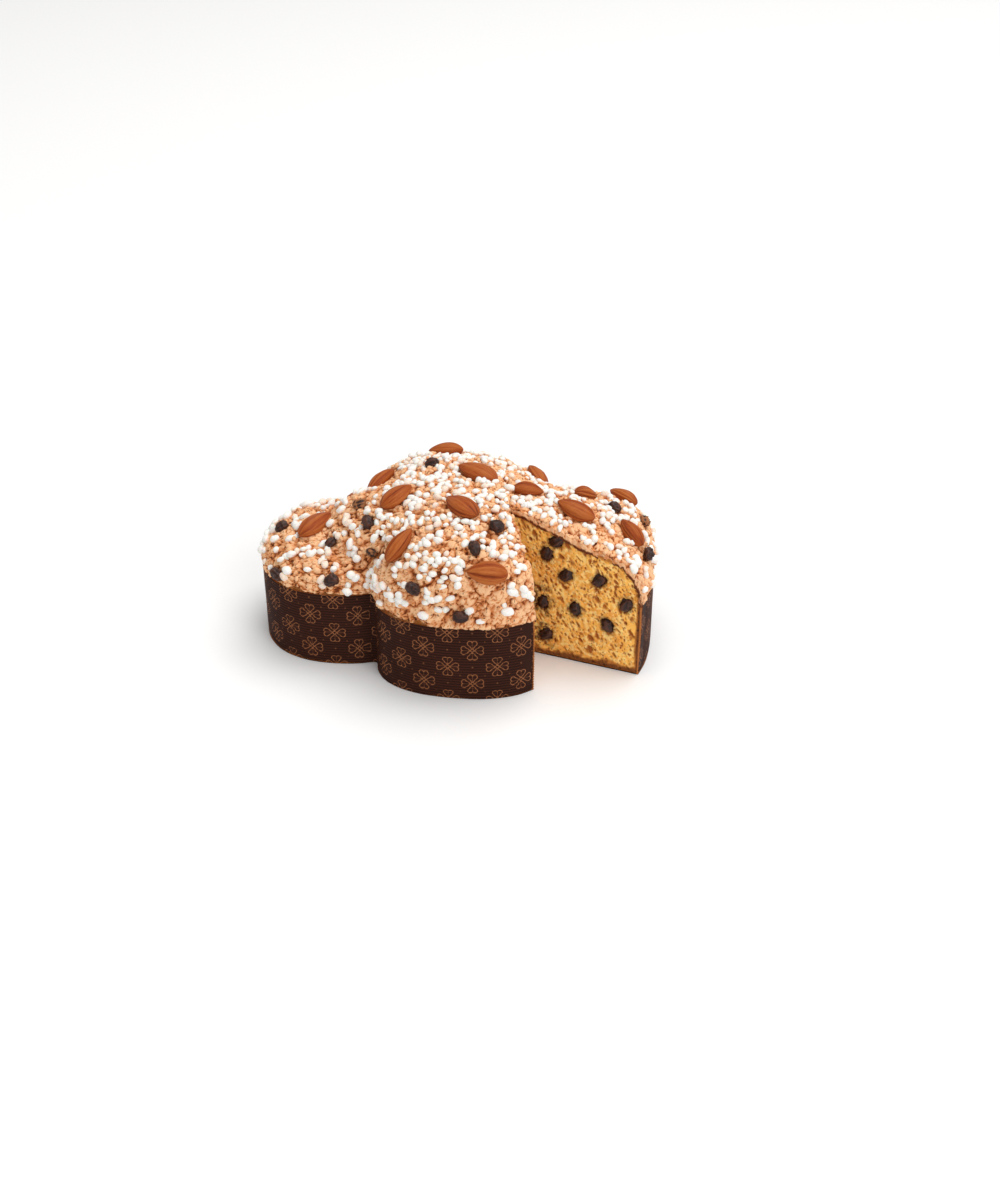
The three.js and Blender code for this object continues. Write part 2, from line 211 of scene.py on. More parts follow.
def pebbled(points, size, seed):
    """Distances to the nearest and next of one scattered dot per cube, and the nearest's number."""
    scaled = points / size
    corner = np.floor(scaled)
    near = np.full(points.shape[:-1], 9.0)
    second = near.copy()
    number = np.zeros_like(near)
    for step in np.ndindex(3, 3, 3):
        cell = corner + step - 1
        dot = cell + np.stack([scramble(cell, seed + axis) for axis in range(3)], -1)
        away = np.linalg.norm(dot - scaled, axis=-1)
        closer = away < near
        second = np.where(closer, near, np.minimum(second, away))
        number = np.where(closer, scramble(cell, seed + 3), number)
        near = np.where(closer, away, near)
    return near, second, number


def eased(low, high, values):
    """0 below low, 1 above high, and a smooth rise between."""
    share = np.clip((values - low) / (high - low), 0, 1)
    return share * share * (3 - 2 * share)


def warped(points, size, amount, seed):
    """Points pushed about by smooth noise, so that what is drawn on them wanders."""
    push = np.stack([cloud(points, size, seed + axis) for axis in range(3)], -1)
    return points + amount * push


# ------------------------------------------------------------------ meshes

class Surface:
    """Points in millimetres, faces by point number, and named numbers at the points."""

    def __init__(self, points, faces, **values):
        self.points = np.asarray(points, float).reshape(-1, 3)
        self.faces = [np.asarray(group) for group in faces if len(group)]
        self.values = {
            name: np.broadcast_to(value, self.points.shape[:1]).astype(float)
            for name, value in values.items()
        }


def joined(surfaces):
    """Several surfaces as one, each keeping its own values and 0 for the others'."""
    names = {name for surface in surfaces for name in surface.values}
    points, faces, start = [], [], 0
    values = {name: [] for name in names}
    for surface in surfaces:
        points.append(surface.points)
        faces.extend(group + start for group in surface.faces)
        start += len(surface.points)
        for name in names:
            values[name].append(surface.values.get(name, np.zeros(len(surface.points))))
    return Surface(np.concatenate(points), faces,
                   **{name: np.concatenate(parts) for name, parts in values.items()})


def grid_faces(rows, columns, flipped=False):
    """Four-sided faces of a grid whose points are stored row by row."""
    point = np.arange(rows * columns).reshape(rows, columns)
    corners = [point[:-1, :-1], point[:-1, 1:], point[1:, 1:], point[1:, :-1]]
    if flipped:
        corners.reverse()
    return np.stack(corners, -1).reshape(-1, 4)


def fan_faces(counts):
    """Faces between rings that each have as many points as the ring before, or half as many."""
    fours, threes, start = [], [], 0
    for count, following in zip(counts, counts[1:]):
        a = start + np.arange(count)
        b = start + count + np.arange(following)
        if count == following:
            fours.append(np.stack([a[:-1], a[1:], b[1:], b[:-1]], -1))
        else:
            threes.append(np.stack([a[:-2:2], a[1:-1:2], b[:-1]], -1))
            fours.append(np.stack([a[1:-1:2], a[2::2], b[1:], b[:-1]], -1))
        start += count
    return [np.concatenate(fours)] + ([np.concatenate(threes)] if threes else [])


def make_piece(name, surface, material, nodes, uv=None):
    """Puts a surface into the scene as a finished piece that stands for CAD nodes."""
    mesh = bpy.data.meshes.new(name)
    mesh.vertices.add(len(surface.points))
    mesh.vertices.foreach_set("co", (surface.points * MM).astype(np.float32).ravel())
    corners = np.concatenate([group.ravel() for group in surface.faces])
    sizes = np.concatenate([np.full(len(group), group.shape[1]) for group in surface.faces])
    mesh.loops.add(len(corners))
    mesh.loops.foreach_set("vertex_index", corners.astype(np.int32))
    mesh.polygons.add(len(sizes))
    mesh.polygons.foreach_set("loop_start", (np.cumsum(sizes) - sizes).astype(np.int32))
    for label, numbers in surface.values.items():
        layer = mesh.attributes.new(label, "FLOAT", "POINT")
        layer.data.foreach_set("value", numbers.astype(np.float32))
    if uv is not None:
        layer = mesh.uv_layers.new(name="print")
        layer.data.foreach_set("uv", uv[corners].astype(np.float32).ravel())
    mesh.update(calc_edges=True)
    mesh.validate()
    mesh.shade_smooth()
    mesh.materials.append(material)
    piece = bpy.data.objects.new(name, mesh)
    bpy.context.scene.collection.objects.link(piece)
    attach(piece, "root")
    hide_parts(*nodes)
    return piece


# ------------------------------------------------------------------ materials

class Number:
    """A number that varies over a surface. Sums and products of it add Math nodes."""

    def __init__(self, recipe, socket):
        self.recipe = recipe
        self.socket = socket

    def math(self, operation, *others):
        """The result of one Math node on this number and the others."""
        values = dict(enumerate((self, *others)))
        return self.recipe.number("ShaderNodeMath", {"operation": operation}, values)

    def __add__(self, other):
        return self.math("ADD", other)

    def __sub__(self, other):
        return self.math("SUBTRACT", other)

    def __rsub__(self, other):
        return self.recipe.number("ShaderNodeMath", {"operation": "SUBTRACT"}, {0: other, 1: self})

    def __mul__(self, other):
        return self.math("MULTIPLY", other)

    def __truediv__(self, other):
        return self.math("DIVIDE", other)

    def __pow__(self, other):
        return self.math("POWER", other)

    def __abs__(self):
        return self.math("ABSOLUTE")

    __radd__ = __add__
    __rmul__ = __mul__

    def rise(self, low, high):
        """0 below low, 1 above high, and a smooth rise between."""
        eased_range = {"interpolation_type": "SMOOTHSTEP"}
        return self.recipe.number("ShaderNodeMapRange", eased_range, {0: self, 1: low, 2: high})


class Recipe:
    """A material under construction, with its Principled shader's fixed values set first."""

    def __init__(self, name, **fixed):
        self.material = bpy.data.materials.new(name)
        self.material.use_nodes = True
        self.tree = self.material.node_tree
        self.shader = self.tree.nodes["Principled BSDF"]
        for label, value in fixed.items():
            self.shader.inputs[label.replace("_", " ")].default_value = value

    def node(self, kind, settings=None, values=None):
        """Adds a node: its settings or a ramp's stops first, then its sockets' values or links."""
        node = self.tree.nodes.new(kind)
        for label, value in (settings or {}).items():
            if label == "stops":
                self.set_stops(node.color_ramp, value)
            else:
                setattr(node, label, value)
        for label, value in (values or {}).items():
            self.feed(node.inputs[label], value)
        return node

    def set_stops(self, ramp, stops):
        """Gives a ramp its (position, colour) stops."""
        for _ in range(len(stops) - len(ramp.elements)):
            ramp.elements.new(0.5)
        for element, (position, colour) in zip(ramp.elements, stops):
            element.position = position
            element.color = (*colour, 1)

    def feed(self, socket, value):
        """Links a socket to a number or a socket, or sets it to a plain value."""
        if isinstance(value, Number):
            value = value.socket
        if isinstance(value, bpy.types.NodeSocket):
            self.tree.links.new(value, socket)
        else:
            socket.default_value = value

    def number(self, kind, settings=None, values=None, output=0):
        """A node's output as a number."""
        return Number(self, self.node(kind, settings, values).outputs[output])

    def attribute(self, name):
        """The number stored under a name at the mesh's points."""
        return self.number("ShaderNodeAttribute", {"attribute_name": name}, output="Fac")

    def place(self):
        """Object coordinates, in metres."""
        return self.node("ShaderNodeTexCoord").outputs["Object"]

    def noise(self, size, detail=2.0, place=None):
        """Smooth noise from 0 to 1 whose lumps are about a size in millimetres."""
        values = {"Vector": place or self.place(), "Scale": 1 / (size * MM), "Detail": detail}
        return self.number("ShaderNodeTexNoise", None, values)

    def colours(self, position, stops):
        """A colour from a ramp of (position, colour) stops."""
        return self.node("ShaderNodeValToRGB", {"stops": stops}, {0: position}).outputs[0]

    def blend(self, share, first, second):
        """One colour where share is 0 and the other where it is 1."""
        node = self.node("ShaderNodeMix", {"data_type": "RGBA"}, {0: share})
        for index, colour in ((6, first), (7, second)):
            self.feed(node.inputs[index], (*colour, 1) if isinstance(colour, tuple) else colour)
        return node.outputs[2]

    def bump(self, height, depth):
        """Fine relief in millimetres, fed to the shader's normal."""
        values = {"Height": height, "Distance": depth * MM, "Strength": 1.0}
        bumped = self.node("ShaderNodeBump", None, values).outputs[0]
        self.feed(self.shader.inputs["Normal"], bumped)

    def finish(self, colour, roughness=None):
        """Feeds the colour, and the roughness if it varies, and gives the material."""
        self.feed(self.shader.inputs["Base Color"], colour)
        if roughness is not None:
            self.feed(self.shader.inputs["Roughness"], roughness)
        return self.material


def painted(colour):
    """A colour property as a plain tuple."""
    return tuple(round(part, 4) for part in colour)


def toned(colour, factor):
    """A colour made darker or lighter: each part times a factor."""
    return tuple(factor * part for part in colour)


# ------------------------------------------------------------------ settings

def size_property(name, description, millimetres, low, high):
    """A length in millimetres as a distance property, with its least and greatest."""
    return FloatProperty(name=name, description=description, default=millimetres * MM,
                         min=low * MM, max=high * MM, unit="LENGTH", subtype="DISTANCE",
                         precision=5)


def colour_property(name, description, colour):
    """A colour property."""
    return FloatVectorProperty(name=name, description=description, default=colour,
                               min=0, max=1, size=3, subtype="COLOR")


class ColombaPaper(bpy.types.PropertyGroup):
    """The paper case."""

    rib_pitch: size_property("Rib pitch", "Distance from one level rib to the next", 2.0, 0.5, 10)
    rib_depth: size_property("Rib depth", "How far the ribs stand out", 0.6, 0, 2)
    flower_row: size_property("Flower row", "Height from a flower to the next above it", 26, 5, 80)
    flower_pitch: size_property("Flower pitch", "Distance between flowers in one row", 32, 5, 80)
    flower_radius: size_property("Flower radius", "From a flower's middle to its tips", 7.2, 2, 30)
    line_width: size_property("Line width", "Width of the printed lines", 0.48, 0.1, 5)
    paper: colour_property("Paper", "Colour of the paper", (0.0275, 0.0080, 0.0045))
    ink: colour_property("Ink", "Colour of the printed lines", (0.32, 0.122, 0.050))
    inner: colour_property("Inner face", "Colour of the inside and the cuts", (0.36, 0.12, 0.030))


class ColombaCrumb(bpy.types.PropertyGroup):
    """The cake under the glaze."""

    grain: size_property("Grain", "Distance between points on the cut faces", 0.55, 0.3, 3)
    crust_height: size_property("Base crust", "Height of the browned base at the cut", 7.0, 0, 30)
    crumb: colour_property("Crumb", "Colour of the crumb", (0.99, 0.51, 0.105))
    # Painted shade: the colour put inside pores and round the raisins' hollows.
    pore: colour_property("Pores", "Colour inside the pores", (0.33, 0.078, 0.010))
    crust: colour_property("Crust", "Colour of the browned crust", (0.20, 0.062, 0.014))


class ColombaGlaze(bpy.types.PropertyGroup):
    """The almond glaze and its sugar."""

    plate_size: size_property("Plate size", "Width of the cracked plates of glaze", 15, 3, 60)
    lump_size: size_property("Lump size", "Width of the lumps on the plates", 4.4, 1, 20)
    crack_depth: size_property("Crack depth", "Depth of the cracks between the plates", 2.1, 0, 5)
    nib_radius: size_property("Nib radius", "Mean radius of a nib of pearl sugar", 2.25, 0.5, 5)
    nib_gap: size_property("Cluster gap", "Least distance between clusters of sugar", 9.8, 3, 60)
    crumbs: IntProperty(name="Glaze crumbs", description="How many crumbs of glaze lie on it",
                        default=1800, min=0, max=2500)
    light: colour_property("Light glaze", "Colour of the tops of the glaze", (0.91, 0.53, 0.285))
    tan: colour_property("Tan glaze", "Colour of the sides of the lumps", (0.66, 0.228, 0.068))
    # Partly the glaze's own browning in its cracks, partly painted shade there.
    toasted_and_shaded: colour_property("Toasted glaze", "Colour down in the cracks", (0.25, 0.058, 0.010))
    sugar: colour_property("Sugar", "Colour of the pearl sugar", (0.90, 0.872, 0.825))


class ColombaToppings(bpy.types.PropertyGroup):
    """Almonds and raisins."""

    almond_thickness: size_property("Almond thickness", "Thickness of an almond", 9.4, 3, 20)
    rib_depth: size_property("Almond ribs", "Depth of the ribs in an almond's skin", 0.8, 0, 2)
    raisin_thickness: size_property("Raisin thickness", "Thickness of a raisin", 6.8, 3, 20)
    almond: colour_property("Almond", "Colour of the almond skin", (0.31, 0.053, 0.0060))
    # Painted shade down in the grooves of the skin.
    almond_groove_shade: colour_property("Almond grooves", "Colour in the grooves", (0.060, 0.011, 0.003))
    raisin: colour_property("Raisin", "Colour of the raisin skin", (0.028, 0.0090, 0.0058))


class ColombaStage(bpy.types.PropertyGroup):
    """Floor, lights and camera."""

    floor: colour_property("Floor", "Colour of the floor", (0.93, 0.93, 0.93))
    camera_distance: FloatProperty(
        name="Camera distance", description="From the camera to its target",
        default=1.193, min=0.2, max=10, unit="LENGTH", subtype="DISTANCE")
    camera_pitch: FloatProperty(
        name="Camera pitch", description="How far the camera looks down",
        default=math.radians(33), min=0, max=1.5, subtype="ANGLE")
    camera_turn: FloatProperty(
        name="Camera turn", description="Turn of the camera about the upright",
        default=math.radians(6.6), min=-3.2, max=3.2, subtype="ANGLE")


SETTINGS = {
    "colomba_paper": ColombaPaper,
    "colomba_crumb": ColombaCrumb,
    "colomba_glaze": ColombaGlaze,
    "colomba_toppings": ColombaToppings,
    "colomba_stage": ColombaStage,
}


# ------------------------------------------------------------------ paper case

PAPER_THICKNESS = 0.9
PAPER_COLUMNS = 481
ROWS_PER_RIB = 4
PAPER_FOOT = 0.05  # height of the wall's lower edge
FLOOR_TOP, FLOOR_THICKNESS = 0.7, 0.65
SMOOTH_STRIP = 5.5  # from a cut edge to the middle of the pressed strip beside it
PRINT_START = (1.6, 11.9)  # where a flower's middle lies: along the wall and up it
OFF_PRINT = 1000.0  # map place of what carries no print


def print_mask(recipe, settings):
    """Where the flowers are printed, on the paper's own map of millimetres along and up.

    Flowers stand in a half-drop repeat. A flower is folded into one half petal, which is a
    tapered bar from the middle to a round tip beside the petal's axis, and only its edge is
    inked. A ring is inked in the middle. Dots lie half way between flowers along and up the
    wall, and fainter ones in the quarters of the repeat.
    """
    along_pitch = settings.flower_pitch / MM
    up_pitch = settings.flower_row / MM
    radius = settings.flower_radius / MM
    line = settings.line_width / MM
    node = recipe.node("ShaderNodeUVMap", {"uv_map": "print"})
    parts = recipe.node("ShaderNodeSeparateXYZ", None, {0: node.outputs[0]})
    along, up = Number(recipe, parts.outputs[0]), Number(recipe, parts.outputs[1])

    def from_nearest(value, pitch, shift):
        """Signed distance to the nearest of a row of lines."""
        share = (value / pitch + shift).math("FRACT")
        return (share - 0.5) * pitch

    def flower(shift):
        """Ink of one of the two interleaved lattices of flowers."""
        a = abs(from_nearest(along, along_pitch, shift))
        b = abs(from_nearest(up, up_pitch, shift))
        out = a.math("MAXIMUM", b)
        side = a.math("MINIMUM", b)
        root, tip_out, tip_side = 0.20 * radius, 0.76 * radius, 0.205 * radius
        tip_radius = 0.235 * radius
        reach = tip_out - root
        length = math.hypot(reach, tip_side)
        dot = (out - root) * (reach / length**2) + side * (tip_side / length**2)
        share = dot.math("MAXIMUM", 0.0).math("MINIMUM", 1.0)
        off_out = out - root - share * reach
        off_side = side - share * tip_side
        away = (off_out * off_out + off_side * off_side) ** 0.5
        edge = abs(away - (share ** 0.8) * tip_radius)
        petals = 1 - edge.rise(line * 0.3, line * 0.75)
        middle = (a * a + b * b) ** 0.5
        ring = 1 - abs(middle - 0.15 * radius).rise(line * 0.3, line * 0.7)
        keep = middle.rise(0.14 * radius, 0.20 * radius)
        return (petals * keep).math("MAXIMUM", ring)

    def spot(shift_along, shift_up, size):
        """A small dot at one place of the repeat."""
        a = from_nearest(along, along_pitch, shift_along)
        b = from_nearest(up, up_pitch, shift_up)
        return 1 - ((a * a + b * b) ** 0.5).rise(size * 0.5, size)

    def spots(places, size, strength):
        """Dots at several places of the repeat, printed at one strength."""
        first, *others = [spot(*place, size) for place in places]
        for other in others:
            first = first.math("MAXIMUM", other)
        return first * strength

    flowers = flower(0.5).math("MAXIMUM", flower(0.0))
    dots = spots(((0.5, 0.0), (0.0, 0.5)), 0.75, 0.55)
    fine = spots(((0.25, 0.25), (0.75, 0.25), (0.25, 0.75), (0.75, 0.75)), 0.55, 0.4)
    return flowers.math("MAXIMUM", dots).math("MAXIMUM", fine)


def paper_material(settings):
    """Dark brown paper with a copper print that has worn a little, painted lighter on the crests of
    its ribs and darker in their troughs.
    """
    recipe = Recipe("baking_paper", Specular_IOR_Level=0.07)
    wear = recipe.noise(3.0, 3.0).rise(0.25, 0.6) * 0.35 + 0.65
    ink = print_mask(recipe, settings) * wear
    # Painted light and shade of the ribs: the rib number lightens the crests and darkens the
    # troughs, mixed with a slow random tone.
    shade = recipe.noise(22.0, 2.0) * 0.3 + recipe.attribute("rib") * 0.7
    base = recipe.blend(shade, toned(settings.paper, 0.35), toned(settings.paper, 2.3))
    printed = recipe.blend(ink, base, painted(settings.ink))
    bare = recipe.attribute("bare")
    grain = recipe.noise(1.2, 3.0)
    kraft = recipe.blend(grain, painted(settings.inner), toned(settings.inner, 1.7))
    recipe.bump(grain, 0.05)
    return recipe.finish(recipe.blend(bare, printed, kraft), 0.5 - ink * 0.1 + grain * 0.12)


def paper_surface(settings):
    """The ribbed wall, its inner face, its rim and its two cut edges, and the floor.

    The wall follows the dove's outline. Ribs are a cosine of the height, and slow noise
    lets the wall wander by less than half a millimetre. A strip beside each cut is smooth.
    """
    pitch = settings.rib_pitch / MM
    depth = settings.rib_depth / MM
    turn, radius, walked = outline_fan(PAPER_COLUMNS)
    plan = CUT_POINT + radius[:, None] * spokes(turn)
    out = outward(plan[:, 0], plan[:, 1])
    flat = np.column_stack([plan, np.zeros(PAPER_COLUMNS)])
    rim = PAPER_HEIGHT + 0.35 * cloud(np.stack([walked, 0 * walked, 0 * walked], -1), 19.0, 5)
    rows = ROWS_PER_RIB * round(PAPER_HEIGHT / pitch) + 1
    up = PAPER_FOOT + np.linspace(0, 1, rows)[:, None] * (rim - PAPER_FOOT)
    wave = np.cos(2 * np.pi * up / pitch)

    def wall(offset, ribs):
        """The wall's points at an offset outwards, with ribs of a depth."""
        place = np.stack(np.broadcast_arrays(walked[None, :], up, 0.0), -1)
        wander = 0.35 * cloud(place, 31.0, 8) + 0.12 * cloud(place, 9.0, 9)
        points = flat[None] + out[None] * (offset + wander + ribs * wave)[..., None]
        points[..., 2] = up
        return points

    from_strips = np.minimum(
        np.abs(walked - SMOOTH_STRIP), np.abs(walked[-1] - SMOOTH_STRIP - walked))
    strip = 1 - eased(2.5, 3.5, from_strips)
    outer = wall(0.0, depth / 2 * (1 - strip))
    inner = wall(-PAPER_THICKNESS, depth / 2)
    uv = np.stack(np.broadcast_arrays(
        walked[None, :] - PRINT_START[0], up - PRINT_START[1]), -1).reshape(-1, 2)
    # Painted light and shade for the ribs: 1 on a crest and 0 in a trough, and a fixed share on the
    # smooth strips.
    rib = np.where(strip > 0.5, 0.35, 0.5 + 0.5 * wave)
    frayed = np.zeros((rows, PAPER_COLUMNS))
    frayed[:, [0, -1]] = 1
    inner_rows = inner[::ROWS_PER_RIB]
    pieces = [
        Surface(outer, [grid_faces(rows, PAPER_COLUMNS)], bare=frayed.ravel(), rib=rib.ravel()),
        Surface(inner_rows, [grid_faces(len(inner_rows), PAPER_COLUMNS, True)], bare=1),
        Surface(np.stack([outer[-1], inner[-1]]), [grid_faces(2, PAPER_COLUMNS)], bare=0.6),
    ]
    for column, flipped in ((0, False), (-1, True)):
        edge = np.stack([outer[:, column], inner[:, column]])
        pieces.append(Surface(edge, [grid_faces(2, rows, flipped)], bare=1))
    rings = []
    for scale in (1.0, 0.5, 0.01):
        ring = CUT_POINT + (radius * scale)[:, None] * spokes(turn)
        rings.append(np.column_stack([ring, np.full(PAPER_COLUMNS, FLOOR_TOP)]))
    top, faces = np.concatenate(rings), fan_faces([PAPER_COLUMNS] * len(rings))
    pieces.append(Surface(top, faces, bare=1))
    under = top - np.array([0, 0, FLOOR_THICKNESS])
    pieces.append(Surface(under, [group[:, ::-1] for group in faces], bare=0))
    surface = joined(pieces)
    full_uv = np.full((len(surface.points), 2), OFF_PRINT)
    full_uv[: len(uv)] = uv
    return surface, full_uv


# ------------------------------------------------------------------ toppings in the frame

def node_points(name):
    """The points of a CAD node, in millimetres."""
    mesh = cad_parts[name].data
    points = np.empty(3 * len(mesh.vertices))
    mesh.vertices.foreach_get("co", points)
    return points.reshape(-1, 3) / MM


def turned(across, up, angle):
    """Offsets in a plane, measured along and square to an axis that leans by an angle."""
    cos, sin = math.cos(angle), math.sin(angle)
    return across * cos + up * sin, up * cos - across * sin


class Topping:
    """Where a CAD topping lies: its middle on the dome, its three axes and its length.

    The first axis is the direction in which the points reach farthest, towards the slimmer
    end, and the length is that reach.
    """

    def __init__(self, name):
        points = node_points(name)
        middle = self.foot((points.min(0) + points.max(0)) / 2)
        up = dome_normal(middle[0], middle[1])
        flat = points - middle
        flat -= (flat @ up)[:, None] * up
        along = np.linalg.svd(flat, full_matrices=False)[2][0]
        reach = flat @ along
        side = np.linalg.norm(flat - reach[:, None] * along, axis=1)
        half = (reach.max() - reach.min()) / 4
        self.middle = self.foot(middle + along * (reach.max() + reach.min()) / 2)
        if side[reach > half].mean() > side[reach < -half].mean():
            along = -along
        self.heading = math.atan2(along[1], along[0])
        self.length = reach.max() - reach.min()
        here, heading = self.middle[:, None], np.array([self.heading])
        self.axes = dome_axes(here[0], here[1], heading)[0]

    @staticmethod
    def foot(place):
        """The nearest of a close grid of points on the dome, none of them outside the dove."""
        step = np.linspace(-8, 8, 161)
        x, y = np.meshgrid(place[0] + step, place[1] + step)
        near = np.stack([x, y, dome(x, y)], -1)
        away = np.where(inside_dove(x, y) > 0, np.linalg.norm(near - place, axis=-1), 99)
        return near[np.unravel_index(np.argmin(away), away.shape)]


ALMONDS = [name for name in NODES if name.startswith("almond")]
RAISINS = [name for name in NODES if name.startswith("raisin")]
CUT_RAISINS = [name for name in NODES if name.startswith("cut_raisin")]
almonds = [Topping(name) for name in ALMONDS]
raisins = [Topping(name) for name in RAISINS]


def clear_of_toppings(x, y, margin):
    """Whether places in plan keep a margin from the almonds and raisins, seen as ellipses."""
    clear = np.ones(np.shape(x), bool)
    for kind, width in ((almonds, 0.54), (raisins, 0.74)):
        for topping in kind:
            along, across = turned(x - topping.middle[0], y - topping.middle[1], topping.heading)
            along = along / (topping.length / 2 + margin)
            across = across / (topping.length * width / 2 + margin)
            clear &= along**2 + across**2 > 1
    return clear


def clear_of_cut(x, y, margin):
    """Whether places in plan keep a margin from the missing wedge."""
    dx, dy = x - CUT_POINT[0], y - CUT_POINT[1]
    past_tail = dy * math.cos(TAIL_CUT) - dx * math.sin(TAIL_CUT)
    past_wing = dx * math.sin(WING_CUT) - dy * math.cos(WING_CUT)
    return (past_tail > margin) | (past_wing > margin)


# ------------------------------------------------------------------ glaze

GLAZE_COLUMNS = 721
GRIT_SIZE, HOLE_SIZE, PIT_SIZE, SWELL_SIZE = 2.1, 3.2, 7.0, 24.0
SWELL, LUMP, GRIT, HOLE, PIT = 0.9, 0.95, 0.30, 1.5, 0.8  # heights and depths
TUCK = 3.2  # how far the glaze's lower edge is tucked in under its lip
CUT_ROWS = 9


def glaze_relief(points, settings):
    """Relief of the glaze in millimetres, its tone with painted shade, and where its plates are.

    Cracks run where the nearest and the next dot of a plate are equally far, lumps and grit
    stand on the plates in the same way, and round holes and pits go in at some dots.
    """
    moved = warped(points, 8.0, 2.4, 21)
    near, second, number = pebbled(moved, settings.plate_size / MM, 31)
    gap = second - near + 0.08 * cloud(points, 3.0, 35)
    plate = 0.55 * eased(0.0, 0.13, gap) + 0.45 * eased(0.05, 0.34, gap)
    wandering = warped(points, 3.0, 1.1, 24)
    lump_near, lump_second, lump_number = pebbled(wandering, settings.lump_size / MM, 41)
    lump_gap = lump_second - lump_near
    lump = eased(0.0, 0.30, lump_gap) * (1 - np.minimum(lump_near, 1) ** 2)
    grit_near, _, _ = pebbled(points, GRIT_SIZE, 51)
    grit = 1 - np.minimum(grit_near, 1) ** 2
    hole_near, _, hole_number = pebbled(points, HOLE_SIZE, 61)
    hole = (hole_number > 0.45) * (1 - eased(0.14, 0.36, hole_near))
    pit_near, _, pit_number = pebbled(moved, PIT_SIZE, 65)
    pit = (pit_number > 0.62) * (1 - eased(0.10, 0.30, pit_near))
    hole = np.maximum(hole, pit)
    swell = cloud(points, SWELL_SIZE, 71)
    relief = SWELL * swell - settings.crack_depth / MM * (1 - plate) + LUMP * lump + GRIT * grit
    relief += 0.5 * (number - 0.5) * plate - HOLE * hole - PIT * pit - 0.5
    # Tone: lighter on plates, lumps and grit and darker in cracks, holes and between lumps; partly
    # the glaze's own browning in its cracks, partly painted shade in these recesses.
    tone = 0.12 + 0.50 * plate + 0.32 * lump + 0.16 * grit + 0.16 * (lump_number - 0.5)
    tone = tone * (1 - 0.9 * hole) * (0.30 + 0.70 * eased(0.0, 0.14, lump_gap))
    return np.maximum(relief, -DEEPEST), np.clip(tone, 0, 1), plate


def glaze_point(x, y, settings):
    """Points of the glaze's skin over places in plan, with their tone."""
    base = np.stack([x, y, dome(x, y)], -1)
    relief, tone, _ = glaze_relief(base, settings)
    skin = base + dome_normal(x, y) * (GLAZE_OVERHANG + relief)[..., None]
    skin[..., 2] = np.maximum(skin[..., 2], PAPER_HEIGHT + GLAZE_LIP)
    return skin, tone


def glaze_rings():
    """Rings of the glaze's fan: how many columns each skips, its inset and its scale."""
    rim = [(1, rim_inset(ring), 1.0) for ring in range(RIM_RINGS)]
    inset = rim[-1][1]
    for skip, outermost, innermost, count in (
            (1, 1.0, 0.5, 62), (2, 0.5, 0.25, 32), (4, 0.25, 0.01, 20)):
        rim += [(skip, inset, scale) for scale in np.linspace(outermost, innermost, count)[1:]]
    return rim


def glaze_surface(settings):
    """The whole skin of glaze: tucked under at the rim, over the dome, and down at both cuts."""
    turn, radius, _ = outline_fan(GLAZE_COLUMNS)
    rim = CUT_POINT + radius[:, None] * spokes(turn)
    out = outward(rim[:, 0], rim[:, 1])
    edge = np.column_stack([rim, np.full(GLAZE_COLUMNS, PAPER_HEIGHT + GLAZE_LIP)])
    scallop = eased(0.15, 0.9, cloud(edge, 13.0, 81)) * 4.2 + 0.7 * cloud(edge, 4.0, 82)
    edge[:, 2] += np.maximum(scallop, 0)
    relief, edge_tone, _ = glaze_relief(edge, settings)
    lip = edge + out * (0.2 + 0.7 * relief)[:, None]
    points = [edge - TUCK * out, lip]
    # Darker tones for the tucked-under edge and the lip: painted shade under the glaze's lip.
    tones = [np.full(GLAZE_COLUMNS, 0.12), edge_tone * 0.8]
    ends = ([], [])
    for skip, inset, scale in glaze_rings():
        reach = (radius[::skip] - inset) * scale
        place = CUT_POINT + reach[:, None] * spokes(turn[::skip])
        skin, tone = glaze_point(place[:, 0], place[:, 1], settings)
        skin[:, 2] = np.maximum(skin[:, 2], lip[::skip, 2])
        points.append(skin)
        tones.append(tone)
        for end, index in zip(ends, (0, -1)):
            end.append((skin[index], tone[index], place[index]))
    faces = fan_faces([len(ring) for ring in points])
    skin = Surface(np.concatenate(points), faces, tone=np.concatenate(tones), under=0)
    cuts = ((TAIL_CUT, -1), (WING_CUT, 1))
    return joined([skin] + [glaze_edge(end, *cut) for end, cut in zip(ends, cuts)])


def glaze_edge(end, angle, sign):
    """The glaze's thickness where it is cut: from the skin down, flaky and darker underneath."""
    top, tone, place = (np.array(part) for part in zip(*end))
    share = np.linspace(0, 1, CUT_ROWS)[:, None]
    steep = np.maximum(dome_normal(place[:, 0], place[:, 1])[:, 2], 0.2)
    depth = np.minimum(1.2 * GLAZE_THICKNESS / steep, top[:, 2] - PAPER_HEIGHT + 1)
    points = np.repeat(top[None], CUT_ROWS, axis=0)
    points[..., 2] -= share * depth
    face = np.array([-math.sin(angle), math.cos(angle), 0]) * sign
    torn = 0.5 * cloud(points, 1.7, 91) + (0.8 * cloud(points, 4.0, 92) + 0.9 * share) * (1 - share)
    torn[0] = 0
    points = points + face * torn[..., None]
    flake = np.maximum(tone[None], 0.6) + 0.25 * cloud(points, 1.4, 93) - 0.15 * share
    return Surface(points, [grid_faces(CUT_ROWS, len(end), sign < 0)],
                   tone=flake.ravel(), under=np.repeat(share[:, 0], len(end)))


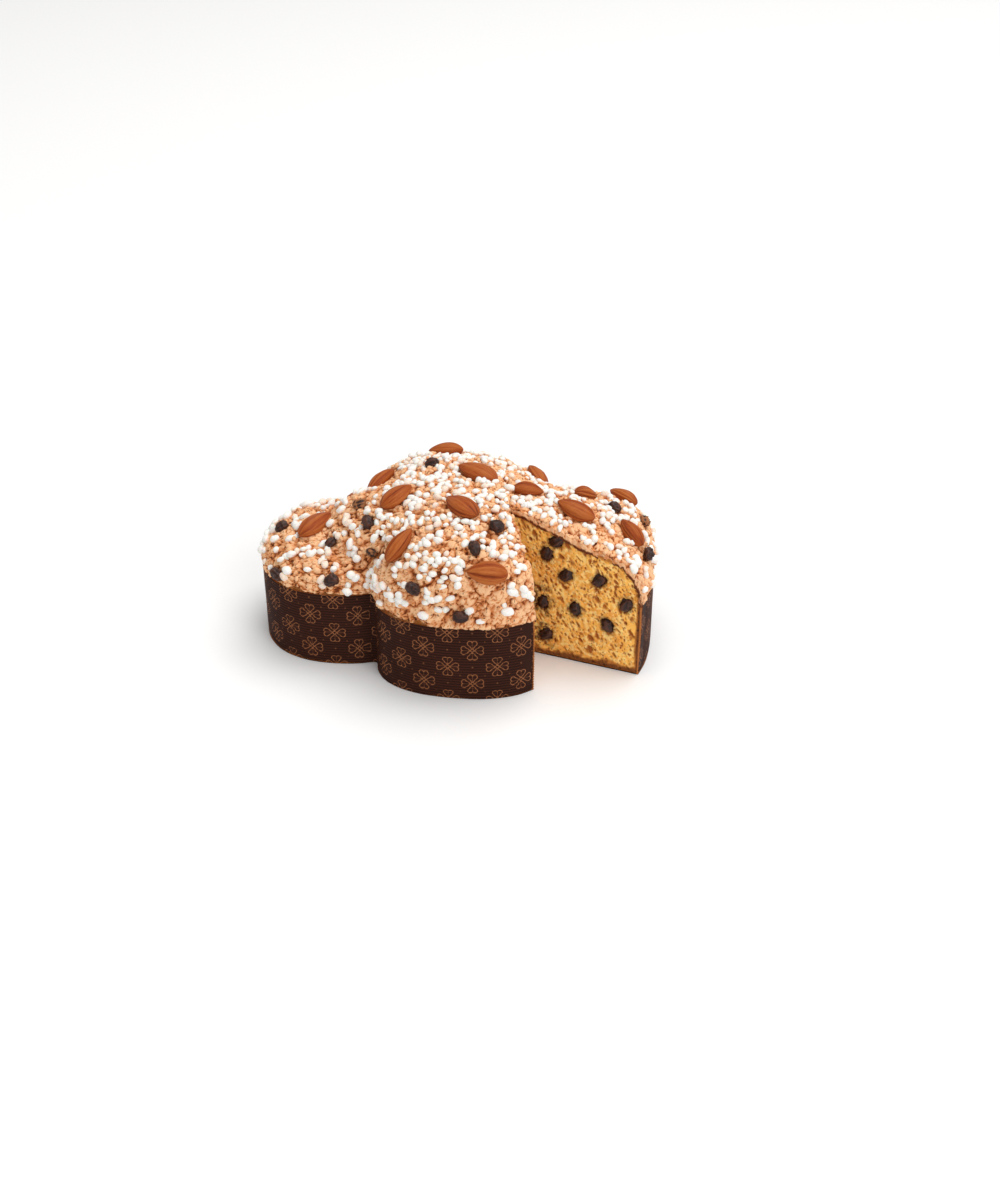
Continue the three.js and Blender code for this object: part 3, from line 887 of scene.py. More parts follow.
def glaze_material(settings):
    """Dry glaze: light on the lumps, dark in the cracks from its own browning and from painted
    shade, and dark underneath at the cuts.
    """
    recipe = Recipe("almond_glaze", Specular_IOR_Level=0.25)
    fine = recipe.noise(1.5, 3.0)
    broad = recipe.noise(19.0, 2.0)
    tone = recipe.attribute("tone") + (fine - 0.5) * 0.46 + (broad - 0.5) * 0.26
    toasted_and_shaded = painted(settings.toasted_and_shaded)
    # The darkest stop is painted shade down in the cracks and holes.
    colour = recipe.colours(tone, [
        (0.0, toned(toasted_and_shaded, 0.35)), (0.16, toasted_and_shaded), (0.36, painted(settings.tan)),
        (0.74, painted(settings.light))])
    speck = 1 - recipe.noise(1.9, 1.0).rise(0.27, 0.34)
    colour = recipe.blend(speck * 0.85, colour, toned(toasted_and_shaded, 0.22))
    orange = recipe.noise(3.1, 1.0).rise(0.69, 0.74)
    colour = recipe.blend(orange * 0.8, colour, (0.55, 0.15, 0.012))
    under = (recipe.attribute("under") + (fine - 0.5) * 0.5).rise(0.48, 0.66)
    colour = recipe.blend(under, colour, toned(toasted_and_shaded, 0.55))
    recipe.bump(fine + recipe.noise(0.7, 2.0) * 0.5, 0.55)
    return recipe.finish(colour, 0.62 + fine * 0.2)


# ------------------------------------------------------------------ scattered pieces

DOME_RISE = 58  # from the paper's rim to the top of the dome
TRIES = 26000
LEAST_UPRIGHT = 0.12  # of the dome's normal, so that its steep rim counts for no more
MOST_AREA = 8.4  # that the dome then has over a unit of plan


def pebble(around, rows):
    """Unit directions and outward faces of a small round body with a pole at each end."""
    slope = np.pi * np.arange(1, rows) / rows
    turn = 2 * np.pi * np.arange(around) / around
    ring = np.stack([
        np.sin(slope)[:, None] * np.cos(turn), np.sin(slope)[:, None] * np.sin(turn),
        np.repeat(np.cos(slope)[:, None], around, axis=1)], -1).reshape(-1, 3)
    directions = np.concatenate([[[0, 0, 1]], ring, [[0, 0, -1]]])
    point = 1 + np.arange((rows - 1) * around).reshape(rows - 1, around)
    after = np.roll(point, -1, axis=1)
    last = len(directions) - 1
    fours = np.stack([point[:-1], point[1:], after[1:], after[:-1]], -1).reshape(-1, 4)
    top = np.stack([np.zeros(around, int), point[0], after[0]], -1)
    bottom = np.stack([point[-1], np.full(around, last), after[-1]], -1)
    return directions, [fours, np.concatenate([top, bottom])]


def strewn(shape, faces, axes, middles, **values):
    """Many copies of shapes, each turned by its axes and moved to its middle, as one surface."""
    points = np.einsum("nmk,nkj->nmj", shape, axes) + middles[:, None]
    count, size = shape.shape[:2]
    shift = (np.arange(count) * size)[:, None, None]
    groups = [(group[None] + shift).reshape(-1, group.shape[1]) for group in faces]
    flat = {name: np.broadcast_to(value, (count, size)).ravel() for name, value in values.items()}
    return Surface(points.reshape(-1, 3), groups, **flat)


def free(x, y, from_toppings, from_cut):
    """Whether places in plan are inside the dove and keep margins from toppings and cut."""
    clear = clear_of_toppings(x, y, from_toppings) & clear_of_cut(x, y, from_cut)
    return (inside_dove(x, y) > 0.004) & clear


def scattered(count, gap, seed, from_toppings, from_cut):
    """Seeded free places on the dome, evenly by area, that keep a gap from each other."""
    draw = np.random.default_rng(seed)
    x = draw.uniform(-132, 132, TRIES)
    y = draw.uniform(-82, 82, TRIES)
    area = 1 / np.maximum(dome_normal(x, y)[:, 2], LEAST_UPRIGHT)
    good = free(x, y, from_toppings, from_cut) & (draw.random(TRIES) < area / MOST_AREA)
    chosen = np.empty((count, 3))
    found = 0
    for place in np.stack([x, y, dome(x, y)], -1)[good]:
        if found == count:
            break
        if np.min(((chosen[:found] - place) ** 2).sum(1), initial=np.inf) > gap**2:
            chosen[found] = place
            found += 1
    return chosen[:found]


def uneven_sizes(draw, size, *spans):
    """Half sizes along three axes: each size times three shares drawn from their spans."""
    return size[:, None] * np.stack([draw.uniform(*span, len(size)) for span in spans], -1)


def rough_pebbles(directions, sizes, roughness, lumpiness, seed):
    """Pebble shapes: each direction's reach is a size, made uneven by each pebble's own noise."""
    shift = np.arange(len(sizes))[:, None, None] * 7.3
    around = directions[None] * lumpiness + shift
    reach = 1 + roughness * cloud(around, 1.0, seed)
    return directions[None] * reach[..., None] * sizes[:, None]


def sugar_places(settings):
    """Places of the sugar nibs: clusters laid square to the dome, fuller towards its top.

    In a cluster each nib turns 2.4 radians past the last, at a distance that grows as the
    square root of its number, and the whole is stretched along its heading.
    """
    draw = np.random.default_rng(3)
    centres = scattered(900, settings.nib_gap / MM, 17, 1.5, 2.5)
    height = (centres[:, 2] - PAPER_HEIGHT) / DOME_RISE
    members = np.round(1.2 + 5.0 * height + draw.normal(0, 2.0, len(centres)))
    nibs = []
    for centre, member in zip(centres, np.clip(members, 1, 10).astype(int)):
        axes = dome_axes(centre[:1], centre[1:2], draw.uniform(0, 2 * np.pi, 1))[0]
        stretch = draw.uniform(1.0, 1.5)
        turn = np.arange(member) * 2.4 + draw.uniform(0, 0.6, member)
        away = settings.nib_radius / MM * 1.02 * np.sqrt(np.arange(member) * 1.15 + 0.05)
        offset = (away * np.cos(turn) * stretch)[:, None] * axes[0]
        offset = offset + (away * np.sin(turn))[:, None] * axes[1]
        nibs.append(centre + offset)
    nibs = np.concatenate(nibs)
    return nibs[free(nibs[:, 0], nibs[:, 1], 0.6, 1.2)]


def sugar_surface(settings):
    """Nibs of pearl sugar: rounded uneven pebbles half sunk in the glaze."""
    draw = np.random.default_rng(4)
    places = sugar_places(settings)
    count = len(places)
    low = 1 - np.clip((places[:, 2] - PAPER_HEIGHT) / 45, 0, 1)
    size = settings.nib_radius / MM * draw.uniform(0.72, 1.18, count) * (1 + 0.25 * low)
    sizes = uneven_sizes(draw, size, (1.0, 1.4), (0.82, 1.0), (0.78, 0.95))
    directions, faces = pebble(12, 8)
    shape = rough_pebbles(directions, sizes, 0.26, 1.25, 33)
    relief, _, _ = glaze_relief(places, settings)
    axes = dome_axes(places[:, 0], places[:, 1], draw.uniform(0, 2 * np.pi, count))
    middles = places + axes[:, 2] * (GLAZE_OVERHANG + relief + 0.25 * size)[:, None]
    dusted = draw.random(count) < 0.12
    return strewn(shape, faces, axes, middles, rise=shape[..., 2] / size[:, None],
                  dusted=dusted[:, None])


def sugar_material(settings):
    """Opaque white sugar, tanned by the glaze round its foot."""
    recipe = Recipe("pearl_sugar", Specular_IOR_Level=0.4,
                    Subsurface_Weight=0.12, Subsurface_Scale=0.002)
    fine = recipe.noise(0.9, 2.0)
    foot = 1 - (recipe.attribute("rise") + (fine - 0.5) * 0.5).rise(-0.15, 0.25)
    white = painted(settings.sugar)
    tan = recipe.blend(0.5, painted(settings.light), white)
    share = foot.math("MAXIMUM", recipe.attribute("dusted") * 0.75)
    recipe.bump(fine, 0.25)
    return recipe.finish(recipe.blend(share, white, tan), 0.5 + fine * 0.15)


def glaze_crumb_surface(settings):
    """Crumbs of glaze: small craggy lumps bedded in the skin, each with its own tone and painted
    lighter towards its top.
    """
    draw = np.random.default_rng(6)
    places = scattered(settings.crumbs, 2.4, 29, 0.2, 0.8)
    _, tone, plate = glaze_relief(places, settings)
    places = places[(plate > 0.5) & (tone > 0.2)]
    x, y = places[:, 0], places[:, 1]
    count = len(places)
    size = draw.uniform(0.8, 1.9, count) * draw.uniform(0.8, 1.15, count)
    sizes = uneven_sizes(draw, size, (1.0, 1.5), (0.8, 1.1), (0.55, 0.9))
    directions, faces = pebble(8, 5)
    shape = rough_pebbles(directions, sizes, 0.42, 1.9, 43)
    skin, tone = glaze_point(x, y, settings)
    axes = dome_axes(x, y, draw.uniform(0, 2 * np.pi, count))
    middles = skin + axes[:, 2] * (0.05 * size)[:, None]
    # Painted light: each crumb is lighter towards its top, plus a random tone of its own.
    level = 0.45 + 0.3 * shape[..., 2] / size[:, None] + 0.35 * (draw.random(count)[:, None] - 0.5)
    level = np.clip(level + 0.2 * tone[:, None], 0, 1)
    return strewn(shape, faces, axes, middles, tone=level, under=0)


# ------------------------------------------------------------------ almonds and raisins

ALMOND_LIFT = 0.6  # how much higher an almond lies than a raisin
GLAZED_RAISINS = ("raisin_12", "raisin_13", "raisin_20")
CUT_RAISIN_DEPTH = 5.5
CUT_RAISIN_SUNK = 1.6  # how far behind the cut face a raisin's middle lies


def almond_surface(settings):
    """Whole almonds: round at one end, pointed at the other, with lengthwise ribs in the skin.

    The half width at a share u from -1 to 1 along the nut is 1.03 (1 - u)^0.74 (1 + u)^0.56.
    Narrow grooves run where noise round the nut crosses 0, and die out towards both ends.
    """
    directions, faces = pebble(44, 41)
    u = -directions[:, 2]
    turn = np.arctan2(directions[:, 1], directions[:, 0])
    girth = 1.03 * np.maximum(1 - u, 0) ** 0.74 * np.maximum(1 + u, 0) ** 0.56
    draw = np.random.default_rng(12)
    thickness = settings.almond_thickness / MM
    shapes, grooves, axes, middles = [], [], [], []
    for topping in almonds:
        seed = draw.uniform(0, 50)
        bend = np.stack([np.cos(turn) * 2.6 + seed, np.sin(turn) * 2.6, u * 0.22], -1)
        broad = cloud(bend, 0.62, 13)
        narrow = cloud(bend * [2.2, 2.2, 1.5], 0.55, 14)
        rib = 0.62 * np.minimum(np.abs(broad) / 0.3, 1)
        rib = 2 * (rib + 0.38 * np.minimum(np.abs(narrow) / 0.35, 1)) - 1.4
        depth = settings.rib_depth / MM * (1 - np.abs(u) ** 3)
        length = topping.length * draw.uniform(0.99, 1.05)
        half_width = length * 0.26 * draw.uniform(0.92, 1.04)
        flat = np.sign(np.sin(turn)) * np.abs(np.sin(turn)) ** 1.15
        shapes.append(np.stack([
            u * length / 2,
            girth * np.cos(turn) * (half_width + rib * depth),
            girth * flat * (thickness / 2 + rib * depth)], -1))
        # How high on a rib each point lies, for the painted shade in the grooves and the painted
        # highlight on the ribs.
        grooves.append(0.7 + 0.5 * rib)
        axes.append(topping.axes)
        lift = GLAZE_OVERHANG + TOPPING_LIFT + ALMOND_LIFT
        middles.append(topping.middle + topping.axes[2] * lift)
    groups = [group[:, ::-1] for group in faces]
    surface = strewn(np.array(shapes), groups, np.array(axes), np.array(middles),
                     groove=np.array(grooves), number=draw.random(len(almonds))[:, None])
    uv = np.tile(np.stack([u * 14, turn * 5], -1), (len(almonds), 1))
    return surface, uv


def almond_material(settings):
    """Red-brown almond skin with fine dark streaks along the nut, painted darker in the grooves as
    shade and lighter on the ribs as highlight.
    """
    recipe = Recipe("almond_skin", Specular_IOR_Level=0.16)
    own = recipe.node("ShaderNodeUVMap", {"uv_map": "print"}).outputs[0]
    drawn = recipe.node("ShaderNodeMapping", None, {"Vector": own, "Scale": (0.16, 1.5, 1.0)})
    streak = recipe.number("ShaderNodeTexNoise", None, {
        "Vector": drawn.outputs[0], "Scale": 1.3, "Detail": 4.0, "Roughness": 0.6})
    groove = recipe.attribute("groove")
    tone = groove * 0.5 + streak * 0.5 + (recipe.attribute("number") - 0.5) * 0.14
    # Stops: painted shade in the grooves, the almond's own colour, and a painted highlight on the
    # ribs.
    colour = recipe.colours(tone, [
        (0.22, painted(settings.almond_groove_shade)), (0.52, painted(settings.almond)),
        (0.90, (0.50, 0.15, 0.032))])
    recipe.bump(streak, 0.35)
    return recipe.finish(colour, 0.42 + streak * 0.22)


def wrinkled(directions, lengths, seed):
    """Raisin shapes: pebbles with deep lengthwise folds that wander, and finer ones across."""
    turn = np.arctan2(directions[:, 1], directions[:, 2])
    around = np.stack([np.cos(turn) * 1.5 + seed, np.sin(turn) * 1.5, directions[:, 0] * 1.1], -1)
    fold = 1 - 3.2 * np.minimum(np.abs(cloud(around, 0.62, 15)), 0.6)
    fine = 1 - 2 * np.abs(cloud(around * [2.1, 2.1, 3.0], 0.62, 16))
    ends = 1 - directions[:, 0] ** 4
    squash = 0.16 * cloud(directions + seed, 0.9, 18)
    reach = 1 + (0.20 * fold + 0.08 * fine) * ends + squash
    return directions * reach[:, None] * np.asarray(lengths) / 2, 0.5 + 0.5 * fold


def raisins_laid(laid, dusty):
    """Wrinkled raisins as one surface, from each one's sizes, seed, axes and middle."""
    directions, faces = pebble(34, 22)
    directions = directions[:, [2, 0, 1]]
    shapes, folds = zip(*(wrinkled(directions, sizes, seed) for sizes, seed, _, _ in laid))
    axes, middles = (np.array([one[part] for one in laid]) for part in (2, 3))
    return strewn(np.array(shapes), faces, axes, middles, fold=np.array(folds), dusty=dusty)


def raisin_surface(settings):
    """Raisins in the glaze: wrinkled pebbles whose long axis lies on the dome."""
    draw = np.random.default_rng(22)
    thickness = settings.raisin_thickness / MM
    laid = []
    for topping in raisins:
        sizes = (topping.length * 1.04, topping.length * draw.uniform(0.70, 0.84), thickness)
        middle = topping.middle + topping.axes[2] * (GLAZE_OVERHANG + TOPPING_LIFT)
        laid.append((sizes, draw.uniform(0, 60), topping.axes, middle))
    return raisins_laid(laid, np.isin(RAISINS, GLAZED_RAISINS)[:, None])


def raisin_material(settings):
    """Dark raisin skin with painted light that makes the crests of its folds a little browner, and
    tan where glaze covers it.
    """
    recipe = Recipe("raisin_skin", Specular_IOR_Level=0.32)
    fine = recipe.noise(1.4, 3.0)
    fold = recipe.attribute("fold")
    # Painted light: the crests of the folds are made lighter brown.
    browned = (fold + (fine - 0.5) * 0.6).rise(0.35, 1.0)
    colour = recipe.blend(browned, painted(settings.raisin), (0.085, 0.026, 0.013))
    dust = recipe.attribute("dusty") * (fold + (fine - 0.5) * 1.1).rise(0.3, 0.9)
    colour = recipe.blend(dust, colour, (0.36, 0.14, 0.05))
    recipe.bump(fine, 0.3)
    return recipe.finish(colour, 0.30 + fine * 0.25 + dust * 0.25)


# ------------------------------------------------------------------ crumb

# The pores: width, share of the places that have one, depth, and seed of the noise.
PORES = ((5.4, 0.30, 1.8, 121), (3.2, 0.50, 1.3, 131), (2.0, 0.65, 0.8, 141), (1.3, 0.6, 0.4, 145))
PORE_LEAN, PORE_STRETCH = math.radians(118), 1.9
SOCKET_DEPTH = 2.2  # of the hollow round a raisin
SMEAR_AND_SHADE = 0.9  # how dark the crumb is where a raisin has smeared it or where shade is painted
CRUMB_BASE = 1.0  # height at which a cut face starts
CRUMB_TALLEST = 108  # height that gives a cut face's number of rows
SHELL_COLUMNS = 321


class CutFace:
    """One of the two straight cuts: distance along it from its point, and height."""

    def __init__(self, angle, sign):
        self.along = np.array([math.cos(angle), math.sin(angle), 0])
        self.out = np.array([-math.sin(angle), math.cos(angle), 0]) * sign
        self.point = np.array([*CUT_POINT, 0])
        self.length = fan_radius(np.array([angle]))[0] - PAPER_THICKNESS
        self.flipped = sign > 0
        self.raisins = []

    def place(self, distance, height, proud):
        """Points on the face, standing proud of it."""
        points = self.point + np.multiply.outer(distance, self.along)
        points[..., 2] = height
        return points + np.multiply.outer(proud, self.out)


def cut_faces():
    """Both cuts, each with the raisins that show in it: place on the face, lean and half sizes."""
    faces = [CutFace(TAIL_CUT, -1), CutFace(WING_CUT, 1)]
    for name in CUT_RAISINS:
        points = node_points(name)
        middle = (points.min(0) + points.max(0)) / 2
        face = min(faces, key=lambda face: abs((middle - face.point) @ face.out))
        flat = np.stack([(points - middle) @ face.along, points[:, 2] - middle[2]], -1)
        axis = np.linalg.svd(flat, full_matrices=False)[2][0]
        spot = ((middle - face.point) @ face.along, middle[2])
        half_sizes = np.ptp(flat @ axis) / 2, np.ptp(flat @ np.array([-axis[1], axis[0]])) / 2
        face.raisins.append((spot, math.atan2(axis[1], axis[0]), *half_sizes))
    return faces


def face_relief(face, distance, height):
    """Relief of the torn crumb in millimetres, where shade is painted in pores and hollows,
    and where raisins have smeared it or shade is painted.

    Pores are dots of noise drawn on coordinates that lean and are squeezed lengthwise, so
    that they come out long, and shade is painted in them. Raisins lie in hollows with painted
    shade round them, smears spread round them, and painted shade darkens the low part near
    the cuts' point in noisy patches. Near the point and the paper the relief dies out.
    """
    flat = np.zeros_like(distance)
    plain = np.stack([distance, height, flat], -1)
    along, across = turned(distance, height, PORE_LEAN)
    spots = warped(np.stack([along / PORE_STRETCH, across, flat], -1), 5.0, 1.3, 111)
    depth, pore, smear, socket = (np.zeros_like(distance) for _ in range(4))
    for size, share, deep, seed in PORES:
        near, _, number = pebbled(spots, size, seed)
        hole = (number < share) * (1 - eased(0.18, 0.50, near)) * (0.6 + 0.4 * number / share)
        depth += deep * hole
        pore = np.maximum(pore, hole)
    torn = 0.5 * cloud(spots, 4.0, 151) + 0.35 * cloud(spots, 1.3, 152)
    for middle, lean, long_half, short_half in face.raisins:
        along, across = turned(distance - middle[0], height - middle[1], lean)
        away = np.hypot(along / long_half, across / short_half) + 0.22 * cloud(plain, 2.0, 161)
        socket = np.maximum(socket, 1 - eased(0.95, 1.22, away))
        smear = np.maximum(smear, SMEAR_AND_SHADE * (1 - eased(1.0, 1.9, away)))
    depth += SOCKET_DEPTH * socket
    # Painted shade: dark noisy patches in the low part near the cuts' point, where the two faces
    # meet.
    low_inner = (1 - eased(26, 38, distance)) * (1 - eased(45, 65, height))
    shade_patches = eased(-0.15, 0.3, cloud(plain, 4.0, 165))
    smear = np.maximum(smear, SMEAR_AND_SHADE * low_inner * shade_patches)
    edge = np.minimum(np.minimum(distance, face.length - distance) / 2, 1)
    # The second mask marks where shade is painted: in pores and in the hollows round raisins.
    return (torn - depth) * np.clip(edge, 0, 1), np.maximum(pore, socket), smear


def crumb_top(x, y):
    """Height of the crumb under the glaze."""
    steep = np.maximum(dome_normal(x, y)[..., 2], 0.2)
    return np.maximum(dome(x, y) - GLAZE_THICKNESS / steep, PAPER_HEIGHT - 0.2)


def crumb_face(face, settings):
    """A cut face as a grid: columns along the cut, rows from the base up to the glaze.

    It is browned near its base, near the paper, and a little just under the glaze.
    """
    grain = settings.grain / MM
    columns = int(face.length / grain)
    rows = int(CRUMB_TALLEST / grain)
    distance = np.linspace(0, face.length, columns)
    plan = face.place(distance, np.zeros(columns), np.zeros(columns))
    top = crumb_top(plan[:, 0], plan[:, 1]) + 0.9
    share = np.linspace(0, 1, rows)[:, None]
    height = CRUMB_BASE + share * (top - CRUMB_BASE)
    spread = np.broadcast_to(distance, height.shape)
    relief, pore, smear = face_relief(face, spread, height)
    points = face.place(spread, height, relief)
    crust_height = settings.crust_height / MM
    uneven = cloud(points, 6.0, 171)
    ragged = 1 + 0.3 * uneven + 0.35 * cloud(points, 2.3, 172)
    base = 1 - eased(0.25, 1.1, height / (crust_height * ragged))
    side = 1 - eased(0.5, 3.4, face.length - spread + uneven)
    lid = 0.55 * (1 - eased(0.4, 3.4, top - height + 0.8 * uneven))
    crust = np.maximum(np.maximum(base, side), lid)
    return Surface(points, [grid_faces(rows, columns, face.flipped)],
                   pore=pore.ravel(), smear=smear.ravel(), crust=crust.ravel())


def crumb_shell():
    """The rest of the crumb: its base, its side inside the paper and its dome under the glaze.

    The dome is the cake's own, lowered square to itself, and is never higher than what the
    cut faces reach, save near the rim.
    """
    turn, radius, _ = outline_fan(SHELL_COLUMNS)
    rim = CUT_POINT + radius[:, None] * spokes(turn)
    wall = rim - 1.3 * outward(rim[:, 0], rim[:, 1])[:, :2]
    points = []
    for scale, height in (
            (0.01, 1.1), (0.5, 1.1), (1.0, 1.1), (1.0, 30.0), (1.0, PAPER_HEIGHT - 0.5)):
        ring = CUT_POINT + (wall - CUT_POINT) * scale
        points.append(np.column_stack([ring, np.full(SHELL_COLUMNS, height)]))
    tops = [(rim_inset(ring), 1.0) for ring in range(3, RIM_RINGS, 2)]
    tops += [(8.7, scale) for scale in np.linspace(1, 0.01, 30)[1:]]
    for inset, scale in tops:
        ring = CUT_POINT + ((radius - inset) * scale)[:, None] * spokes(turn)
        x, y = ring[:, 0], ring[:, 1]
        under = np.column_stack([ring, dome(x, y)]) - dome_normal(x, y) * DEEPEST
        under[:, 2] = np.maximum(under[:, 2], PAPER_HEIGHT - 0.4)
        if scale < 1:
            under[:, 2] = np.minimum(under[:, 2], crumb_top(x, y) + 0.8)
        points.append(under)
    faces = fan_faces([SHELL_COLUMNS] * len(points))
    return Surface(np.concatenate(points), faces, crust=1, shell=1)


def crumb_material(settings):
    """Golden crumb: painted shade in the pores, round the raisins and low near the cuts' point,
    lighter patches painted as highlights, and brown at the crusts and where raisins have smeared
    it.
    """
    recipe = Recipe("golden_crumb", Specular_IOR_Level=0.2,
                    Subsurface_Weight=0.15, Subsurface_Scale=0.004)
    fine = recipe.noise(1.1, 3.0)
    broad = recipe.noise(14.0, 2.0)
    crust = recipe.attribute("crust")
    base = recipe.blend(broad.rise(0.4, 0.62), painted(settings.crumb), (0.82, 0.36, 0.062))
    # Painted highlight: lighter patches of crumb standing for lit crumb walls.
    wall = recipe.noise(2.6, 3.0).rise(0.44, 0.62)
    base = recipe.blend(wall * 0.75, base, (1.0, 0.70, 0.26))
    # Painted shade in the pores and round the raisins' hollows.
    hollow = (recipe.attribute("pore") + (fine - 0.5) * 0.45).rise(0.12, 0.9)
    colour = recipe.blend(hollow * 0.95, base, painted(settings.pore))
    # Brown where raisins have smeared the crumb, and painted shade in patches low near the cuts'
    # point.
    smear = recipe.attribute("smear") * (fine + 0.15).rise(0.3, 0.75)
    colour = recipe.blend(smear, colour, (0.075, 0.024, 0.010))
    browned = crust + (fine - 0.5) * 0.35
    colour = recipe.blend(browned.rise(0.05, 0.5), colour, (0.52, 0.19, 0.035))
    colour = recipe.blend(browned.rise(0.45, 0.95), colour, painted(settings.crust))
    speck = (1 - recipe.noise(2.2, 2.0).rise(0.30, 0.40)) * crust.rise(0.3, 0.8)
    colour = recipe.blend(speck * 0.8, colour, (0.02, 0.009, 0.006))
    patches = recipe.noise(5.0, 3.0).rise(0.4, 0.65)
    side = recipe.blend(patches, (0.50, 0.17, 0.035), (0.72, 0.34, 0.12))
    colour = recipe.blend(recipe.attribute("shell"), colour, side)
    recipe.bump(fine, 0.4)
    return recipe.finish(colour, 0.75 + fine * 0.15)


def cut_raisin_surface():
    """Raisins in the cut faces: wrinkled pebbles sunk in the crumb, cut nearly flush."""
    draw = np.random.default_rng(32)
    laid = []
    for face in cut_faces():
        for middle, lean, long_half, short_half in face.raisins:
            along = math.cos(lean) * face.along + math.sin(lean) * np.array([0, 0, 1.0])
            axes = np.stack([along, np.cross(face.out, along), face.out])
            place = face.place(np.array(middle[0]), middle[1], np.array(-CUT_RAISIN_SUNK))
            sizes = (2.1 * long_half, 2.1 * short_half, CUT_RAISIN_DEPTH)
            laid.append((sizes, draw.uniform(0, 60), axes, place))
    return raisins_laid(laid, 0.0)


# ------------------------------------------------------------------ operators

class Builder(bpy.types.Operator):
    """What the colomba's operators share."""

    bl_options = {"REGISTER", "UNDO"}

    def settings(self, context, name):
        """One of the scene's groups of colomba settings."""
        return getattr(context.scene, f"colomba_{name}")


class COLOMBA_OT_paper(Builder):
    """Build the printed paper case"""

    bl_idname = "colomba.paper"
    bl_label = "Paper case"

    def execute(self, context):
        settings = self.settings(context, "paper")
        surface, uv = paper_surface(settings)
        make_piece("paper", surface, paper_material(settings), ["paper_case"], uv)
        return {"FINISHED"}


class COLOMBA_OT_crumb(Builder):
    """Build the crumb with its two torn cut faces"""

    bl_idname = "colomba.crumb"
    bl_label = "Crumb"

    def execute(self, context):
        settings = self.settings(context, "crumb")
        surfaces = [crumb_face(face, settings) for face in cut_faces()] + [crumb_shell()]
        make_piece("cake", joined(surfaces), crumb_material(settings), ["crumb"])
        return {"FINISHED"}


class COLOMBA_OT_glaze(Builder):
    """Build the cracked glaze, its crumbs and its pearl sugar"""

    bl_idname = "colomba.glaze"
    bl_label = "Glaze and sugar"

    def execute(self, context):
        settings = self.settings(context, "glaze")
        glaze, sugar = glaze_material(settings), sugar_material(settings)
        for name, surface, material in (
                ("glaze_skin", glaze_surface, glaze),
                ("glaze_crumbs", glaze_crumb_surface, glaze),
                ("sugar_nibs", sugar_surface, sugar)):
            make_piece(name, surface(settings), material, ["glaze"])
        return {"FINISHED"}


class COLOMBA_OT_almonds(Builder):
    """Build the whole almonds"""

    bl_idname = "colomba.almonds"
    bl_label = "Almonds"

    def execute(self, context):
        settings = self.settings(context, "toppings")
        surface, uv = almond_surface(settings)
        make_piece("almonds", surface, almond_material(settings), ALMONDS, uv)
        return {"FINISHED"}


class COLOMBA_OT_raisins(Builder):
    """Build the raisins in the glaze and in the cut faces"""

    bl_idname = "colomba.raisins"
    bl_label = "Raisins"

    def execute(self, context):
        settings = self.settings(context, "toppings")
        material = raisin_material(settings)
        make_piece("raisins", raisin_surface(settings), material, RAISINS)
        make_piece("cut_raisins", cut_raisin_surface(), material, CUT_RAISINS)
        return {"FINISHED"}


# Soft boxes: name, place in metres, width in metres and power in watts.
LIGHTS = (("overhead", (0.8, 0.7, 3.4), 2.7, 78), ("front", (2.0, -2.6, 2.2), 2.2, 44))
SKY_COLOUR, SKY_STRENGTH = (1, 0.99, 0.97, 1), 0.56
FLOOR_WIDTH, FLOOR_DROP = 16, 0.0002
CAMERA_TARGET = np.array([24.35, 38.3, 0]) * MM
SENSOR_WIDTH, FOCAL_LENGTH = 36, 50.64


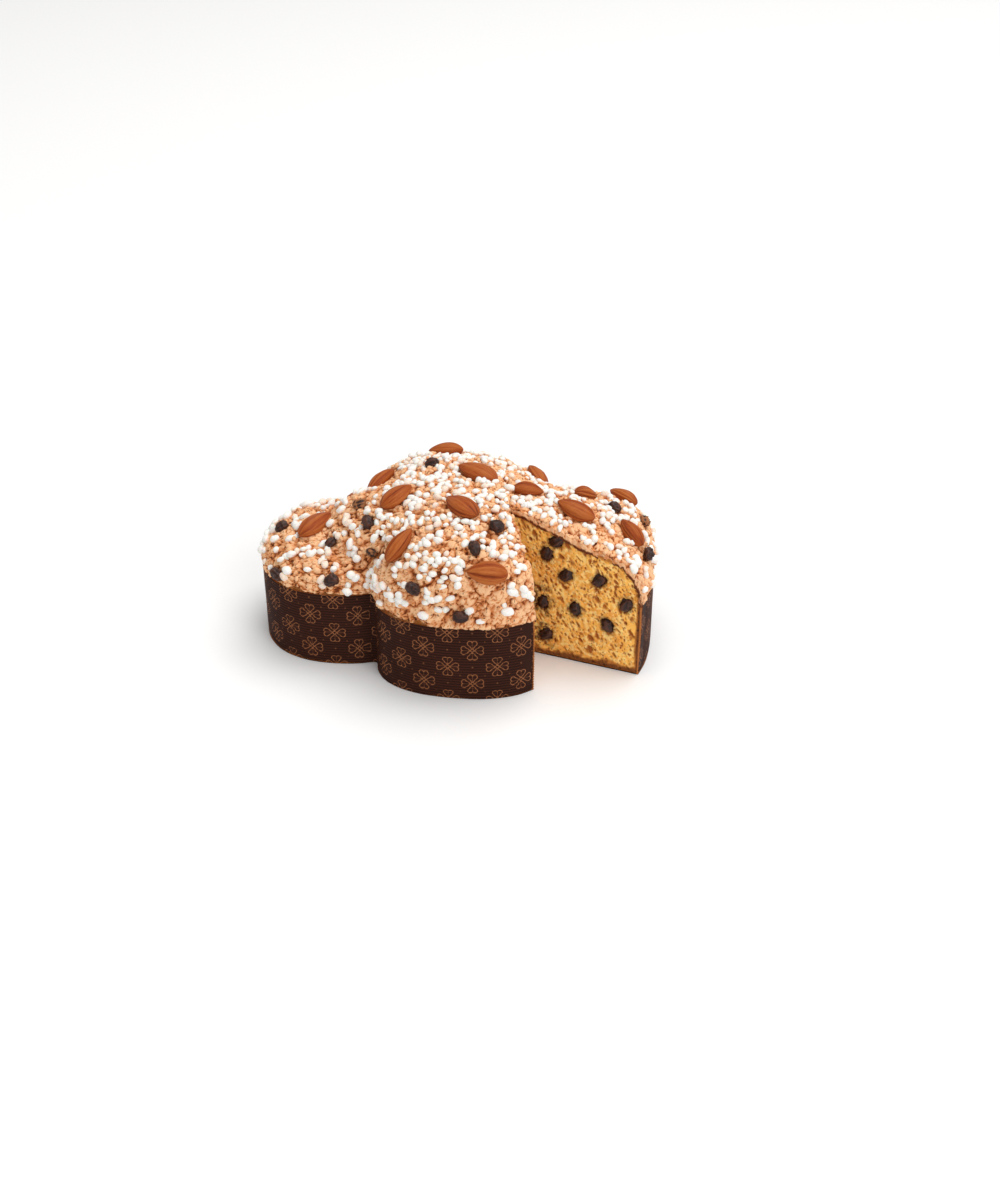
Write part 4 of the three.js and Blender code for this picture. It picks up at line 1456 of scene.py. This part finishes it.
class COLOMBA_OT_stage(Builder):
    """Set the floor, the soft lights and the camera"""

    bl_idname = "colomba.stage"
    bl_label = "Stage"

    def execute(self, context):
        settings = self.settings(context, "stage")
        bpy.ops.mesh.primitive_plane_add(size=FLOOR_WIDTH, location=(0, 0, -FLOOR_DROP))
        floor = context.object
        floor.name = "floor"
        recipe = Recipe("pale_floor", Roughness=0.7, Specular_IOR_Level=0.1)
        floor.data.materials.append(recipe.finish((*settings.floor, 1)))
        world = bpy.data.worlds.new("studio")
        context.scene.world = world
        world.use_nodes = True
        sky = world.node_tree.nodes["Background"]
        sky.inputs["Color"].default_value = SKY_COLOUR
        sky.inputs["Strength"].default_value = SKY_STRENGTH
        context.scene.view_settings.view_transform = "Standard"
        for name, place, size, power in LIGHTS:
            light = bpy.data.lights.new(name, "AREA")
            light.size = size
            light.energy = power
            lamp = bpy.data.objects.new(name, light)
            lamp.location = place
            lamp.rotation_euler = (-Vector(place)).to_track_quat("-Z", "Y").to_euler()
            context.scene.collection.objects.link(lamp)
        self.add_camera(context, settings)
        return {"FINISHED"}

    def add_camera(self, context, settings):
        """A camera that looks down at a point on the table from a distance."""
        pitch, turn = settings.camera_pitch, settings.camera_turn
        level = settings.camera_distance * math.cos(pitch)
        camera = bpy.data.objects.new("camera", bpy.data.cameras.new("camera"))
        camera.location = (CAMERA_TARGET[0] + level * math.sin(turn),
                           CAMERA_TARGET[1] - level * math.cos(turn),
                           settings.camera_distance * math.sin(pitch))
        camera.rotation_euler = (math.pi / 2 - pitch, 0, turn)
        camera.data.sensor_width = SENSOR_WIDTH
        camera.data.lens = FOCAL_LENGTH
        context.scene.collection.objects.link(camera)
        context.scene.camera = camera


class COLOMBA_PT_panel(bpy.types.Panel):
    """The colomba's pieces in the sidebar"""

    bl_label = "Colomba"
    bl_idname = "COLOMBA_PT_panel"
    bl_space_type = "VIEW_3D"
    bl_region_type = "UI"
    bl_category = "Colomba"

    def draw(self, context):
        for operator in OPERATORS:
            self.layout.operator(operator.bl_idname)
        for name, group in SETTINGS.items():
            box = self.layout.box()
            box.label(text=group.__doc__)
            for label in group.__annotations__:
                box.prop(getattr(context.scene, name), label)


OPERATORS = (COLOMBA_OT_paper, COLOMBA_OT_crumb, COLOMBA_OT_glaze, COLOMBA_OT_almonds,
             COLOMBA_OT_raisins, COLOMBA_OT_stage)
CLASSES = (*SETTINGS.values(), *OPERATORS, COLOMBA_PT_panel)


def register():
    """Registers the classes and gives the scene its settings."""
    for cls in CLASSES:
        bpy.utils.register_class(cls)
    for name, group in SETTINGS.items():
        setattr(bpy.types.Scene, name, PointerProperty(type=group))


def unregister():
    """Takes the settings and the classes away again."""
    for name in SETTINGS:
        delattr(bpy.types.Scene, name)
    for cls in reversed(CLASSES):
        bpy.utils.unregister_class(cls)


def main():
    """Builds every piece."""
    register()
    bpy.ops.colomba.paper()
    bpy.ops.colomba.crumb()
    bpy.ops.colomba.glaze()
    bpy.ops.colomba.almonds()
    bpy.ops.colomba.raisins()
    bpy.ops.colomba.stage()


if __name__ == "__main__":
    main()
